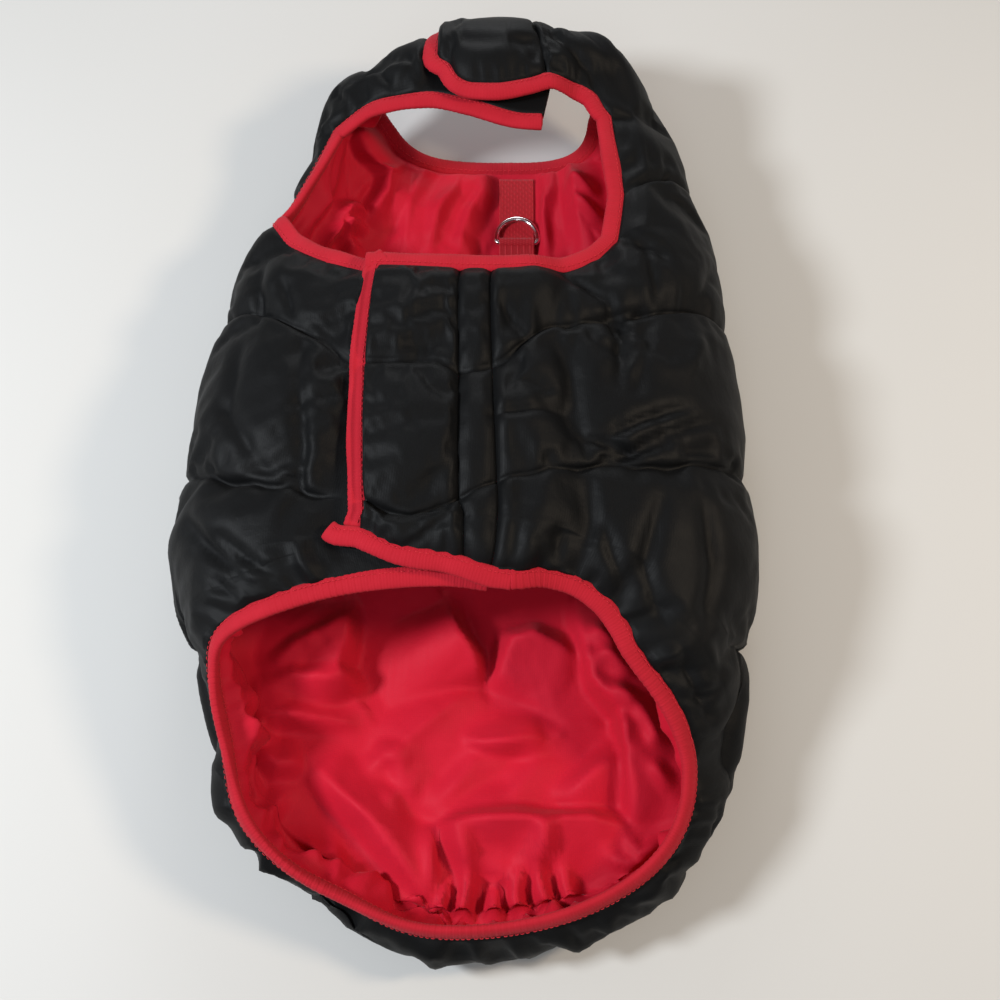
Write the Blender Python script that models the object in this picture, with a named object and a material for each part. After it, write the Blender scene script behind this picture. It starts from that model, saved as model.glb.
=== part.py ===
"""Padded winter coat for a large dog, lying on its back with the belly side up.

The coat is a tube of quilted shell cloth with a loose lining, open at the hem, at the neck and at the
front legs. Every piece is laid out on one form: s runs from the hem (0) to the neck edge (1), and u runs
round the body, from the spine (0) up the right side to the middle of the belly (1) and on over it, or up
the left side to -1 and past it. Pieces that close over others have u beyond 1 or -1.
"""

import math

import bpy
import numpy as np

MM = 0.001
GAP = 0.3
SEAM_HALF_GAP = 0.3

SHELL_AT_SEAM = 4.0
SHELL_PUFF = 6.5
SHELL_UNDER_FLAP = 3.5
LINING = 1.0
BINDING_WIDTH = 10.0
BINDING_COVER = 0.9
TOUCH_TAPE = 0.9
TAPE_CLEAR = 0.75
BINDING_SEAT = 0.6
WEBBING_WIDTH = 25.0
WEBBING = 1.5
RING_WIRE = 3.5
PUFF_ROUNDNESS = 0.45
GATHERS = 36
GATHER_HEIGHT = 2.2
HALF_GIRTH = 370.0
SIDE_ROUND = 0.12
CENTRE = (-22.5, 27.6)

# The middle of the footprint is the origin; the rows below are in the tables' own millimetres.
RING_COLUMNS = ("s spine_y spine_z belly_y belly_z left_x right_x left_y right_y left_z right_z middle_x "
                "low_left high_left low_right high_right").split()
RINGS = np.array([
    [0.00, -258, 46, -70, 112, -161, 108, -120, -172, 78, 66, -30, 1.9, 2.3, 2.2, 2.15],
    [0.05, -263, 24, -58, 113, -168, 125, -104, -162, 60, 52, -29, 1.8, 2.3, 2.2, 2.2],
    [0.12, -247, 9, -40, 112, -177, 137, -76, -125, 52, 48, -26, 1.9, 2.3, 2.3, 2.3],
    [0.26, -150, 7, -2, 112, -188, 143, -45, -52, 50, 48, -23, 2.3, 2.5, 2.5, 2.5],
    [0.42, -40, 7, 45, 110, -182, 140, 5, 5, 48, 47, -20, 2.5, 2.5, 2.5, 2.5],
    [0.56, 60, 7, 90, 108, -174, 138, 72, 72, 47, 46, -17, 2.5, 2.5, 2.5, 2.5],
    [0.68, 120, 7, 122, 105, -163, 134, 122, 122, 47, 46, -13, 2.5, 2.5, 2.5, 2.5],
    [0.80, 172, 7, 178, 104, -142, 125, 180, 180, 48, 47, -8, 2.4, 2.4, 2.4, 2.4],
    [0.90, 222, 7, 245, 103, -120, 110, 238, 238, 49, 48, -4, 2.3, 2.3, 2.3, 2.3],
    [0.95, 244, 8, 287, 100, -113, 102, 268, 268, 50, 48, -1, 2.2, 2.2, 2.2, 2.2],
    [1.00, 260, 9, 313, 80, -104, 93, 292, 292, 48, 46, 0, 2.2, 2.2, 2.2, 2.2],
])

# Lines that cross the coat, as s at the given u. The flap's own hem lies higher than the hem below it.
HEM_LINE = [(-1.2, 0.0), (0.93, 0.0), (1.0, 0.01), (1.05, 0.045), (1.10, 0.10), (1.2, 0.18)]
LEG_LINE = [(-1.2, 0.665), (-0.97, 0.665), (-0.85, 0.668), (-0.73, 0.70), (-0.62, 0.745), (-0.54, 0.785),
            (-0.40, 0.76), (0.50, 0.74), (0.66, 0.755), (0.73, 0.742), (0.79, 0.70), (0.86, 0.672), (0.98, 0.66),
            (1.2, 0.675)]
STRAP_LINE = [(-1.2, 0.885), (-1.08, 0.885), (-0.88, 0.912), (-0.70, 0.918), (-0.60, 0.905), (0.66, 0.905),
              (0.74, 0.918), (0.84, 0.932), (1.0, 0.918), (1.09, 0.932), (1.14, 0.95), (1.2, 0.96)]
# Lines that run along the coat, as u at the given knot row.
KNOT_ROWS = "hem quilt_d quilt_c quilt_b quilt_a leg quilt_z strap neck".split()
ROWS_BETWEEN = dict(zip(KNOT_ROWS[1:], (4, 4, 4, 4, 4, 4, 4, 6)))
QUILT_Y = {"quilt_d": -200.0, "quilt_c": -100.0, "quilt_b": 0.0, "quilt_a": 100.0, "quilt_z": 203.0}
LEAST_S = {"quilt_d": 0.06, "quilt_c": 0.10}
BODY_U = {
    "left_end": (-1.04, -1.04, -1.04, -1.04, -1.04, -1.04, -1.085, -1.085, -1.085),
    "leg_left": (-0.52, -0.52, -0.52, -0.52, -0.52, -0.525, -0.545, -0.60, -0.60),
    "spine": (0.0,) * 9,
    "leg_right": (0.72, 0.72, 0.72, 0.72, 0.73, 0.745, 0.72, 0.72, 0.72),
    "strip_right": (0.935, 0.94, 0.945, 0.95, 0.96, 0.975, 0.88, 0.88, 0.93),
    "strip_left": (0.975, 0.98, 0.985, 0.995, 1.01, 1.03, 0.93, 0.93, 0.98),
    "right_end": (1.085, 1.085, 1.09, 1.105, 1.15, 1.17, 1.14, 1.14, 1.14),
}
COLUMNS_BETWEEN = dict(leg_left=12, spine=14, leg_right=18, strip_right=6, strip_left=2, right_end=6)
FINE = 3
FINE_ROWS = 4
# How closely a face follows the lattice: rows, then fine columns near the hem, then beyond it.
OUTER_STEPS = (1, 1, FINE)
PLAIN_STEPS = (2, 2 * FINE, 2 * FINE)
FOLDED_STEPS = (1, FINE, FINE)

LIFT = SHELL_UNDER_FLAP + 2 * (TOUCH_TAPE + TAPE_CLEAR) + LINING + 2 * GAP

# Folds as ridges (up) or valleys (down): from x, y to x, y on the plan, half width and height.
FOLD_COLUMNS = "from_x from_y to_x to_y width height".split()
BELLY_FOLDS = [
    (10, 25, 48, 22, 9, -3.0),
    (88, -60, 104, 18, 14, -3.5),
    (66, 84, 64, 40, 8, -3.0),
    (70, -60, 62, -100, 14, 3.0),
    (-120, -62, -92, 10, 12, -3.0),
    (-140, -95, -150, -20, 12, -3.0),
    (110, -120, 128, -60, 12, -3.0),
    (-120, 60, -108, 110, 10, -2.5),
]
LINING_BILLOW = 3.0
LINING_LOOSE_U = 0.62
LINING_FOLDS = [
    (-41, -53, -24, -86, 11, -5.0),
    (-24, -86, -12, -138, 11, -5.0),
    (2, -88, 54, -106, 13, 6.0),
    (-24, -150, 22, -158, 12, -3.0),
    (-62, -89, -74, -140, 14, 6.0),
    (53, -61, 62, -122, 13, 6.0),
    (62, -122, 80, -196, 13, 6.0),
    (-38, -200, 26, -195, 13, 7.0),
    (26, -195, 72, -162, 13, 7.0),
    (-104, -174, -72, -204, 13, 7.0),
    (-72, -204, -46, -236, 12, 7.0),
    (-150, -132, -86, -140, 12, 6.0),
    (-40, -206, -39, -240, 10, -5.0),
    (-118, 250, -74, 204, 12, 6.0),
    (-104, 262, -100, 214, 12, 4.0),
    (-41, 255, -43, 190, 10, 5.0),
    (62, 262, 60, 200, 12, 5.0),
]

COLOURS = {
    "shell": ((0.012, 0.013, 0.014, 1), 0.45, 0.0),
    "lining": ((0.62, 0.035, 0.055, 1), 0.42, 0.0),
    "binding": ((0.60, 0.045, 0.06, 1), 0.75, 0.0),
    "tape": ((0.015, 0.015, 0.016, 1), 0.9, 0.0),
    "webbing": ((0.62, 0.03, 0.045, 1), 0.7, 0.0),
    "chrome": ((0.80, 0.80, 0.82, 1), 0.15, 1.0),
}


# ---------------------------------------------------------------- the form

def smooth_columns(x, rows):
    """Each column of the table at x, on a curve that never overshoots its rows."""
    at, values = rows[:, 0], rows[:, 1:]
    step = np.diff(at)[:, None]
    slope = np.diff(values, axis=0) / step
    tangent = np.zeros_like(values)
    tangent[0], tangent[-1] = slope[0], slope[-1]
    first, last = 2 * step[1:] + step[:-1], step[1:] + 2 * step[:-1]
    same = slope[:-1] * slope[1:] > 0
    safe = np.where(same, slope[:-1], 1.0), np.where(same, slope[1:], 1.0)
    tangent[1:-1] = np.where(same, (first + last) / (first / safe[0] + last / safe[1]), 0)
    i = np.clip(np.searchsorted(at, x) - 1, 0, len(at) - 2)
    t = ((x - at[i]) / step[i, 0])[:, None]
    return ((1 + 2 * t) * (1 - t) ** 2 * values[i] + t * (1 - t) ** 2 * step[i] * tangent[i]
            + t * t * (3 - 2 * t) * values[i + 1] + t * t * (t - 1) * step[i] * tangent[i + 1])


def half_ring(ring, side, count):
    """Points from the spine to the belly over one side of a ring, evenly spaced along it."""
    angle = np.linspace(0, math.pi, 241)
    low = angle < math.pi / 2
    fullness = np.where(low, ring["low_" + side], ring["high_" + side])
    out = np.abs(np.sin(angle)) ** (2 / fullness)
    up = np.sign(np.cos(angle)) * np.abs(np.cos(angle)) ** (2 / fullness)
    rise = (1 - up) / 2
    ease = out * out * (1 + SIDE_ROUND - np.hypot(up, SIDE_ROUND))
    mid_y, mid_z = (ring["spine_y"] + ring["belly_y"]) / 2, (ring["spine_z"] + ring["belly_z"]) / 2
    points = np.stack([
        ring["middle_x"] + (ring[side + "_x"] - ring["middle_x"]) * out,
        ring["spine_y"] + (ring["belly_y"] - ring["spine_y"]) * rise + (ring[side + "_y"] - mid_y) * ease,
        ring["spine_z"] + (ring["belly_z"] - ring["spine_z"]) * rise + (ring[side + "_z"] - mid_z) * ease,
    ], axis=1)
    length = np.concatenate([[0], np.cumsum(np.linalg.norm(np.diff(points, axis=0), axis=1))])
    even = np.linspace(0, length[-1], count)
    return np.stack([np.interp(even, length, points[:, k]) for k in range(3)], axis=1)


def make_form(rows=161, half=161):
    """The form as a grid of points: rows along s, and 2 * half - 1 points round each, from u = -1 to 1."""
    grid = []
    for values in smooth_columns(np.linspace(0, 1, rows), RINGS):
        ring = dict(zip(RING_COLUMNS[1:], values))
        left, right = half_ring(ring, "left", half), half_ring(ring, "right", half)
        grid.append(np.concatenate([left[::-1], right[1:]]))
    return np.array(grid) - [CENTRE[0], CENTRE[1], 0.0]


FORM = make_form()


def form_point(s, u):
    s, u = np.broadcast_arrays(np.asarray(s, float), np.asarray(u, float))
    row = np.clip(s, 0, 1) * (FORM.shape[0] - 1)
    column = (u + 1) % 2 / 2 * (FORM.shape[1] - 1)
    i = np.clip(np.floor(row).astype(int), 0, FORM.shape[0] - 2)
    j = np.clip(np.floor(column).astype(int), 0, FORM.shape[1] - 2)
    a, b = (row - i)[..., None], (column - j)[..., None]
    near = FORM[i, j] * (1 - b) + FORM[i, j + 1] * b
    far = FORM[i + 1, j] * (1 - b) + FORM[i + 1, j + 1] * b
    return near * (1 - a) + far * a


def form_normal(s, u, reach=0.008):
    along = form_point(np.minimum(s + reach, 1), u) - form_point(np.maximum(s - reach, 0), u)
    around = form_point(s, u + reach) - form_point(s, u - reach)
    normal = np.cross(along, around)
    return normal / np.linalg.norm(normal, axis=-1, keepdims=True)


def at_line(line, u):
    u = np.asarray(u, float)
    knots = np.array(line)
    return smooth_columns(u.ravel(), knots).reshape(u.shape)


def ease(x, low, high):
    t = np.clip((x - low) / (high - low), 0, 1)
    return t * t * (3 - 2 * t)


# ---------------------------------------------------------------- the lattice of the pattern

def knot_index(between, first):
    index, total = {first: 0}, 0
    for name, count in between.items():
        total += count
        index[name] = total
    return index


ROW = knot_index(ROWS_BETWEEN, "hem")
COLUMN = {name: FINE * n for name, n in knot_index(COLUMNS_BETWEEN, "left_end").items()}


def quilt_drop(u):
    """Quilting lines sag towards the hem over the belly."""
    return 42.0 * ease(np.abs(u), 0.58, 0.85)


def quilt_line(name, u):
    """s of a quilting line at u, before the hem cuts it off."""
    s = np.linspace(0, 1, 101)
    y = np.maximum.accumulate(form_point(s, u)[:, 1]) + quilt_drop(u) + CENTRE[1]
    return float(np.interp(QUILT_Y[name], y, s)) if y[0] < QUILT_Y[name] else 0.0


def knot_s(u):
    """s of every knot row at u, in order. A quilting line that has run out stays a little inside the hem."""
    lines = {"hem": float(at_line(HEM_LINE, u)), "leg": float(at_line(LEG_LINE, u)), "neck": 1.0}
    lines["strap"] = float(at_line(STRAP_LINE, u))
    for name in QUILT_Y:
        lines[name] = max(quilt_line(name, u), LEAST_S.get(name, 0))
    found = [lines[name] for name in KNOT_ROWS]
    for k in range(1, 4):
        found[k] = max(found[k], found[0] + 0.03 * k)
    return found


U_STEPS = np.linspace(-1.2, 1.2, 481)
KNOT_S = np.array([knot_s(u) for u in U_STEPS])
DEPTH = {name: np.array([quilt_line(name, u) for u in U_STEPS]) for name in QUILT_Y}


def knots_at(u):
    return [np.interp(u, U_STEPS, KNOT_S[:, k]) for k in range(len(KNOT_ROWS))]


def valley_depth(name, u):
    """1 where a quilting line draws the shell in, 0 where the hem has cut the line off."""
    least = LEAST_S.get(name, 0)
    return float(ease(np.interp(u, U_STEPS, DEPTH[name]), least - 0.01, least + 0.09))


def spread_u(i):
    """u of every knot column on row i, in order."""
    rows = [ROW[name] for name in KNOT_ROWS]
    return [float(np.interp(i, rows, BODY_U[name])) for name in BODY_U]


def place(i, j, shift=0.0):
    """(s, u) of lattice row i and fine column j. Rows crowd towards the knot rows."""
    u = float(np.interp(j, list(COLUMN.values()), spread_u(i))) + shift
    at = np.interp(i, [ROW[name] for name in KNOT_ROWS], range(len(KNOT_ROWS)))
    k = min(int(at), len(KNOT_ROWS) - 2)
    t = at - k
    t -= 0.5 * math.sin(2 * math.pi * t) / (2 * math.pi)
    knots = knots_at(u)
    return float(knots[k] + (knots[k + 1] - knots[k]) * t), u


# ---------------------------------------------------------------- thickness and folds

def base_height(s, u):
    """How far a piece is held off the form by what it closes over."""
    on_belly = LIFT * ease(u, 0.83, 0.915)
    on_strap = LIFT * ease(u, 0.79, 0.875)
    return on_belly + (on_strap - on_belly) * ease(s, 0.74, 0.86)


def fold_height(point, folds):
    height = 0.0
    for row in folds:
        fold = dict(zip(FOLD_COLUMNS, row))
        start = np.array([fold["from_x"] - CENTRE[0], fold["from_y"] - CENTRE[1]])
        run = np.array([fold["to_x"] - fold["from_x"], fold["to_y"] - fold["from_y"]], float)
        t = np.clip((point[:2] - start) @ run / (run @ run), 0, 1)
        away = np.linalg.norm(point[:2] - start - run * t)
        height += fold["height"] * math.exp(-((away / fold["width"]) ** 2))
    return height


def quilted(s, u):
    """0 on a quilting line, 1 at the top of a puff."""
    lines = dict(zip(KNOT_ROWS, knots_at(u)))
    names = [name for name in KNOT_ROWS if name in QUILT_Y or name in ("hem", "neck")]
    k = max(0, min(sum(s >= lines[name] for name in names) - 1, len(names) - 2))
    low, high = lines[names[k]], lines[names[k + 1]]
    t = np.clip((s - low) / (high - low), 0, 1)
    nearest = names[k] if t < 0.5 else names[k + 1]
    depth = valley_depth(nearest, u) if nearest in QUILT_Y else 0.0
    return 1 - depth * (1 - math.sin(math.pi * t) ** PUFF_ROUNDNESS)


def edge_nearness(i, s, u):
    """0 at the panel's bound edges, 1 away from them."""
    lines = dict(zip(KNOT_ROWS, knots_at(u)))
    found = ease(s - lines["hem"], 0, 0.045) * ease(1 - s, 0, 0.035)
    if ROW["leg"] <= i <= ROW["strap"]:
        ends = spread_u(i)
        found *= ease(u - ends[1], 0, 0.06) * ease(ends[3] - u, 0, 0.06)
    if i <= ROW["leg"]:
        over_belly = ease(np.abs(u), 0.45, 0.55) if u < 0 else ease(u, 0.68, 0.78)
        found *= 1 - over_belly * (1 - ease(lines["leg"] - s, 0, 0.045))
    if i >= ROW["strap"]:
        over_chest = ease(np.abs(u), 0.55, 0.65) if u < 0 else ease(u, 0.66, 0.76)
        found *= 1 - over_chest * (1 - ease(s - lines["strap"], 0, 0.025))
    return float(found)


def shell_thickness(i, s, u):
    puff = SHELL_PUFF * quilted(s, u) * edge_nearness(i, s, u)
    hidden = ease(-u, 0.745, 0.80)
    full = SHELL_AT_SEAM + puff
    return full + (SHELL_UNDER_FLAP - full) * hidden


def gather(i, j, s, u):
    """Small ridges where the elastic draws the hem in, none on the flap or the cloth under it."""
    drawn = (1 - ease(u, 0.84, 0.92)) * (1 - ease(-u, 0.72, 0.80))
    fade = max(0.0, 1 - i / FINE_ROWS)
    return GATHER_HEIGHT * drawn * fade * math.sin(math.pi * GATHERS * u)


def shell_outer(i, j, shift=0.0):
    s, u = place(i, j, shift)
    point, normal = form_point(s, u), form_normal(s, u)
    height = base_height(s, u) + shell_thickness(i, s, u) + gather(i, j, s, u)
    if abs(u) > 0.6:
        height += fold_height(point, BELLY_FOLDS) * (1 - float(ease(-u, 0.72, 0.78))) * edge_nearness(i, s, u)
    found = point + normal * height
    found[2] = max(found[2], 0.0)
    return found


def shell_inner(i, j, shift=0.0):
    s, u = place(i, j, shift)
    return form_point(s, u) + form_normal(s, u) * base_height(s, u)


def lining_outer(i, j, shift=0.0):
    s, u = place(i, j, shift)
    return form_point(s, u) + form_normal(s, u) * (base_height(s, u) - GAP)


def at_edge(i, j):
    """Whether a key lies by the edge of the body panel, which has every key of the lattice."""
    beside_leg = i in (ROW["leg"], ROW["strap"]) and not COLUMN["leg_left"] < j < COLUMN["leg_right"]
    at_leg = ROW["leg"] <= i <= ROW["strap"] and j in (COLUMN["leg_left"], COLUMN["leg_right"])
    at_end = j <= COLUMN["left_end"] + FINE or j == COLUMN["strip_right"]
    return i in (0, ROW["neck"]) or at_end or beside_leg or at_leg


def on_row(i, j, shift):
    """The lining's outer face on a lattice row, straight between its plain columns."""
    step = PLAIN_STEPS[2]
    before, t = j - j % step, j % step / step
    if at_edge(i, j) or t == 0:
        return lining_outer(i, j, shift)
    return lining_outer(i, before, shift) * (1 - t) + lining_outer(i, before + step, shift) * t


def on_facets(i, j, shift):
    """The lining's outer face at a key, on the facets that it really has."""
    step = PLAIN_STEPS[0]
    before, t = i - i % step, i % step / step
    if at_edge(i, j) or t == 0:
        return on_row(i, j, shift)
    return on_row(before, j, shift) * (1 - t) + on_row(before + step, j, shift) * t


def body_lining_inner(i, j, shift=0.0):
    s, u = place(i, j, shift)
    point = form_point(s, u)
    depth = LINING
    if abs(u) < LINING_LOOSE_U:
        loose = max(LINING_BILLOW + fold_height(point, LINING_FOLDS), 0.0)
        depth += loose * clear_of_webbing(point) * lining_slack(s, u)
    return on_facets(i, j, shift) - form_normal(s, u) * depth


def lining_inner(i, j, shift=0.0):
    s, u = place(i, j, shift)
    return form_point(s, u) + form_normal(s, u) * (base_height(s, u) - GAP - LINING)


def clear_of_webbing(point):
    """0 where the webbing is sewn on, 1 away from it."""
    beside = ease(abs(point[0] - WEBBING_X), WEBBING_WIDTH / 2 + 14, WEBBING_WIDTH / 2 + 27)
    below = 1 - ease(point[1], WEBBING_TO_Y - 40, WEBBING_TO_Y - 18)
    return float(max(beside, below))


def lining_slack(s, u):
    """0 where the lining is sewn down, 1 where it hangs loose of the shell."""
    ends = ease(s, 0.0, 0.05) * (1 - ease(s, 0.93, 0.99))
    sides = 1 - ease(abs(u), LINING_LOOSE_U - 0.14, LINING_LOOSE_U)
    return float(ends * sides)


# ---------------------------------------------------------------- meshes

def strip_between(a, b):
    """Triangles between two rows of keys, facing out where b is nearer the neck."""
    found, p, q = [], 0, 0
    while p < len(a) - 1 or q < len(b) - 1:
        if p < len(a) - 1 and (q == len(b) - 1 or a[p + 1][1] <= b[q + 1][1]):
            found.append((a[p], b[q], a[p + 1]))
            p += 1
        else:
            found.append((a[p], b[q], b[q + 1]))
            q += 1
    return found


def keys_of(i, span, fine, coarse):
    step = fine if i < FINE_ROWS else coarse
    return [(i, j) for j in range(span[0], span[1] + 1, step)]


def panel(bands, row_step, fine, coarse):
    """Triangles of keys over bands of (first row, last row, (first column, last column))."""
    found = []
    for first, last, span in bands:
        for i in range(first, last, row_step):
            found += strip_between(keys_of(i, span, fine, coarse), keys_of(i + row_step, span, fine, coarse))
    return found


def edge_loop(triangles):
    """The keys round the open edge, in order."""
    ends = {}
    for a, b, c in triangles:
        for start, end in ((a, b), (b, c), (c, a)):
            ends[(start, end)] = True
    after = {start: end for start, end in ends if (end, start) not in ends}
    key = next(iter(after))
    loop = [key]
    while after[loop[-1]] != key:
        loop.append(after[loop[-1]])
    return loop


def share_edge(triangles, loop):
    """Splits each face on the open edge, so that the edge has every key of the loop."""
    place_of = {key: n for n, key in enumerate(loop)}
    open_edge = edge_loop(triangles)
    follows = dict(zip(open_edge, open_edge[1:] + open_edge[:1]))

    def chain(start, end):
        if follows.get(start) != end:
            return [start, end]
        keys, n = [start], place_of[start]
        while keys[-1] != end:
            n += 1
            keys.append(loop[n % len(loop)])
        return keys

    found = []
    for face in triangles:
        sides = [chain(face[n], face[(n + 1) % 3]) for n in range(3)]
        long_sides = [n for n in range(3) if len(sides[n]) > 2]
        if not long_sides:
            found.append(face)
            continue
        if len(long_sides) == 1:
            apex, split = face[(long_sides[0] + 2) % 3], [sides[long_sides[0]]]
        else:
            apex, split = tuple(sum(values) / 3 for values in zip(*face)), sides
        for keys in split:
            found += [(start, end, apex) for start, end in zip(keys, keys[1:])]
    return found


def material(name):
    found = bpy.data.materials.get(name)
    if found:
        return found
    colour, roughness, metallic = COLOURS[name]
    found = bpy.data.materials.new(name)
    found.use_nodes = True
    shader = found.node_tree.nodes["Principled BSDF"]
    shader.inputs["Base Color"].default_value = colour
    shader.inputs["Roughness"].default_value = roughness
    shader.inputs["Metallic"].default_value = metallic
    found.diffuse_color = colour
    return found


def add_mesh(name, points, faces, finish):
    mesh = bpy.data.meshes.new(name)
    mesh.from_pydata([tuple(float(c) * MM for c in point) for point in points], [], faces)
    mesh.materials.append(material(finish))
    mesh.shade_smooth()
    mesh.set_sharp_from_angle(angle=math.radians(50))
    thing = bpy.data.objects.new(name, mesh)
    bpy.context.scene.collection.objects.link(thing)
    return thing


def add_wall(name, bands, faces_at, finish, shifts=None, steps=(OUTER_STEPS, PLAIN_STEPS)):
    """A closed wall of cloth: faces_at gives the outer and inner point of a key, and steps how closely
    each face follows the lattice. Both faces have every key of the lattice round the edge."""
    shifts = shifts or {}
    loop = edge_loop(panel(bands, *OUTER_STEPS))
    outer, inner = (share_edge(panel(bands, *layer), loop) for layer in steps)
    closed = [tuple(("out", key) for key in face) for face in outer]
    closed += [tuple(("in", key) for key in face[::-1]) for face in inner]
    for key, after in zip(loop, loop[1:] + loop[:1]):
        closed.append((("in", key), ("out", after), ("out", key)))
        closed.append((("in", key), ("in", after), ("out", after)))
    side = dict(zip(("out", "in"), faces_at))
    index, points, faces = {}, [], []
    for face in closed:
        for corner in face:
            if corner not in index:
                index[corner] = len(points)
                layer, (i, j) = corner
                points.append(side[layer](i, j, shifts.get(j, 0.0)))
        faces.append([index[corner] for corner in face])
    return add_mesh(name, points, faces, finish)


def add_sweep(name, sections, finish, closed=False):
    """A bar through sections with equal counts of points, capped unless it closes on itself."""
    count, sides = len(sections), len(sections[0])
    points = [point for section in sections for point in section]
    faces = []
    for k in range(count if closed else count - 1):
        a, b = k * sides, (k + 1) % count * sides
        for m in range(sides):
            n = (m + 1) % sides
            faces.append((a + m, a + n, b + n, b + m))
    if not closed:
        faces.append(tuple(range(sides))[::-1])
        faces.append(tuple((count - 1) * sides + m for m in range(sides)))
    thing = add_mesh(name, points, faces, finish)
    turn_out(thing.data)
    return thing


def turn_out(mesh):
    """Turns every face round if the closed mesh faces in."""
    mesh.calc_loop_triangles()
    points = np.array([vertex.co for vertex in mesh.vertices])
    corners = points[[tuple(t.vertices) for t in mesh.loop_triangles]]
    if np.linalg.det(corners).sum() < 0:
        mesh.flip_normals()


# ---------------------------------------------------------------- bindings

def edge_path(places):
    """Points, normals and the way along for (s, u) places down an edge of a panel."""
    s, u = np.array(places).T
    points = form_point(s, u) + form_normal(s, u) * base_height(s, u)[:, None]
    normals = form_normal(s, u)
    along = np.gradient(points, axis=0)
    along /= np.linalg.norm(along, axis=1, keepdims=True)
    return points, normals, along


def binding_section(point, normal, out, low, high):
    """A bar folded over the edge: square to the panel, round at the free edge."""
    middle, half = (low + high) / 2, (high - low) / 2
    near, far = BINDING_SEAT, BINDING_SEAT + BINDING_WIDTH
    outline = [(near, -half), (near + 0.7 * (far - near), -half), (far, -0.35 * half),
               (far, 0.35 * half), (near + 0.7 * (far - near), half), (near, half)]
    return [point + out * across + normal * (middle + up) for across, up in outline]


def add_binding(name, places, side, cut=(None, None)):
    """side is 1 where the free edge lies to the right of the way along, seen from outside, else -1. cut
    gives, for each end, a place in line with the edge that the tape stops at."""
    points, normals, along = edge_path(places)
    out = np.cross(along, normals) * side
    for end, place_at in zip((0, -1), cut):
        if place_at:
            way = form_point(*place_at) - form_point(*places[end])
            out[end] = way / (way @ out[end])
    sections = []
    for (s, u), point, normal, across in zip(places, points, normals, out):
        wall = SHELL_AT_SEAM + (SHELL_UNDER_FLAP - SHELL_AT_SEAM) * float(ease(-u, 0.745, 0.80))
        low, high = -GAP - LINING - BINDING_COVER, wall + BINDING_COVER
        section = binding_section(point, normal, across, low, high)
        for corner in section:
            corner[2] = max(corner[2], 0.0)
        sections.append(section)
    return add_sweep(name, sections, "binding")


def run(i_keys, j_keys, step=1):
    """Places along one lattice line: one of the two arguments is a pair to count between."""
    if isinstance(i_keys, tuple):
        way = step if i_keys[1] > i_keys[0] else -step
        return [place(i, j_keys) for i in range(i_keys[0], i_keys[1] + way, way)]
    way = step if j_keys[1] > j_keys[0] else -step
    return [place(i_keys, j) for j in range(j_keys[0], j_keys[1] + way, way)]


def moved(place_at, ds=0.0, du=0.0):
    return place_at[0] + ds, place_at[1] + du


# ---------------------------------------------------------------- webbing and ring

WEBBING_X = 12.0 - CENTRE[0]
WEBBING_FROM_Y, WEBBING_TO_Y = 255.0 - CENTRE[1], 120.0 - CENTRE[1]
RING_BAR_Y = 194.0 - CENTRE[1]
NEAR_SPINE = slice(FORM.shape[1] // 4, 3 * FORM.shape[1] // 4)


def lining_top(x, y):
    """Height of the lining's upper face on the back panel."""
    low = FORM[:, NEAR_SPINE].reshape(-1, 3)
    away = (low[:, 0] - x) ** 2 + (low[:, 1] - y) ** 2
    return low[np.argsort(away)[:6], 2].max() + GAP + LINING


def ribbon_section(y, rise, thickness, tilt=0.0):
    """Across the webbing at y, rise above the lining."""
    up = np.array([0.0, math.sin(tilt), math.cos(tilt)])
    low = [np.array([WEBBING_X + side * WEBBING_WIDTH / 2, y, 0.0]) for side in (-1, 1)]
    for point in low:
        point[2] = lining_top(point[0], y) + rise
    return [low[0], low[1], low[1] + up * thickness, low[0] + up * thickness]


def add_webbing():
    path = np.linspace(WEBBING_FROM_Y, WEBBING_TO_Y, 14)
    sections = [ribbon_section(y, GAP, WEBBING) for y in path]
    add_sweep("webbing_strip", sections, "webbing")
    top = 2 * GAP + WEBBING
    bar = RING_WIRE / 2 + GAP
    middle = top + RING_WIRE / 2 + 2 * GAP
    half_turn = math.radians(62)
    sections = [ribbon_section(RING_BAR_Y - 28.0, top, WEBBING), ribbon_section(RING_BAR_Y - 9.0, top, WEBBING)]
    for angle in np.linspace(-half_turn, half_turn, 9):
        y, rise = RING_BAR_Y + bar * math.sin(angle), middle + bar * math.cos(angle)
        sections.append(ribbon_section(y, rise, WEBBING, angle))
    add_sweep("webbing_loop", sections, "webbing")
    add_ring(lining_top(WEBBING_X, RING_BAR_Y) + middle)


def add_ring(z):
    """A D of round wire: a straight bar and a half round, lying on the webbing."""
    half = WEBBING_WIDTH / 2 + RING_WIRE / 2 + 0.6
    path = [(x, 0.0) for x in np.linspace(-half + 2, half - 2, 6)]
    path += [(half * math.cos(a), 2.0 + (half + 3.0) * math.sin(a)) for a in np.linspace(0, math.pi, 19)]
    points = np.array([(WEBBING_X + x, RING_BAR_Y + y, z) for x, y in path])
    ahead, behind = np.roll(points, -1, axis=0), np.roll(points, 1, axis=0)
    along = ahead - behind
    along /= np.linalg.norm(along, axis=1, keepdims=True)
    side = np.cross(along, [0.0, 0.0, 1.0])
    angles = np.linspace(0, 2 * math.pi, 8, endpoint=False)
    sections = [[p + (o * math.cos(a) + np.array([0, 0, 1.0]) * math.sin(a)) * RING_WIRE / 2 for a in angles]
                for p, o in zip(points, side)]
    add_sweep("d_ring", sections, "chrome", closed=True)


# ---------------------------------------------------------------- the coat

def clear_scene():
    for thing in list(bpy.data.objects):
        bpy.data.objects.remove(thing, do_unlink=True)


def seam_shift(j, side):
    """Half the seam's gap, as a step in u."""
    return {j: side * SEAM_HALF_GAP / HALF_GIRTH}


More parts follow.
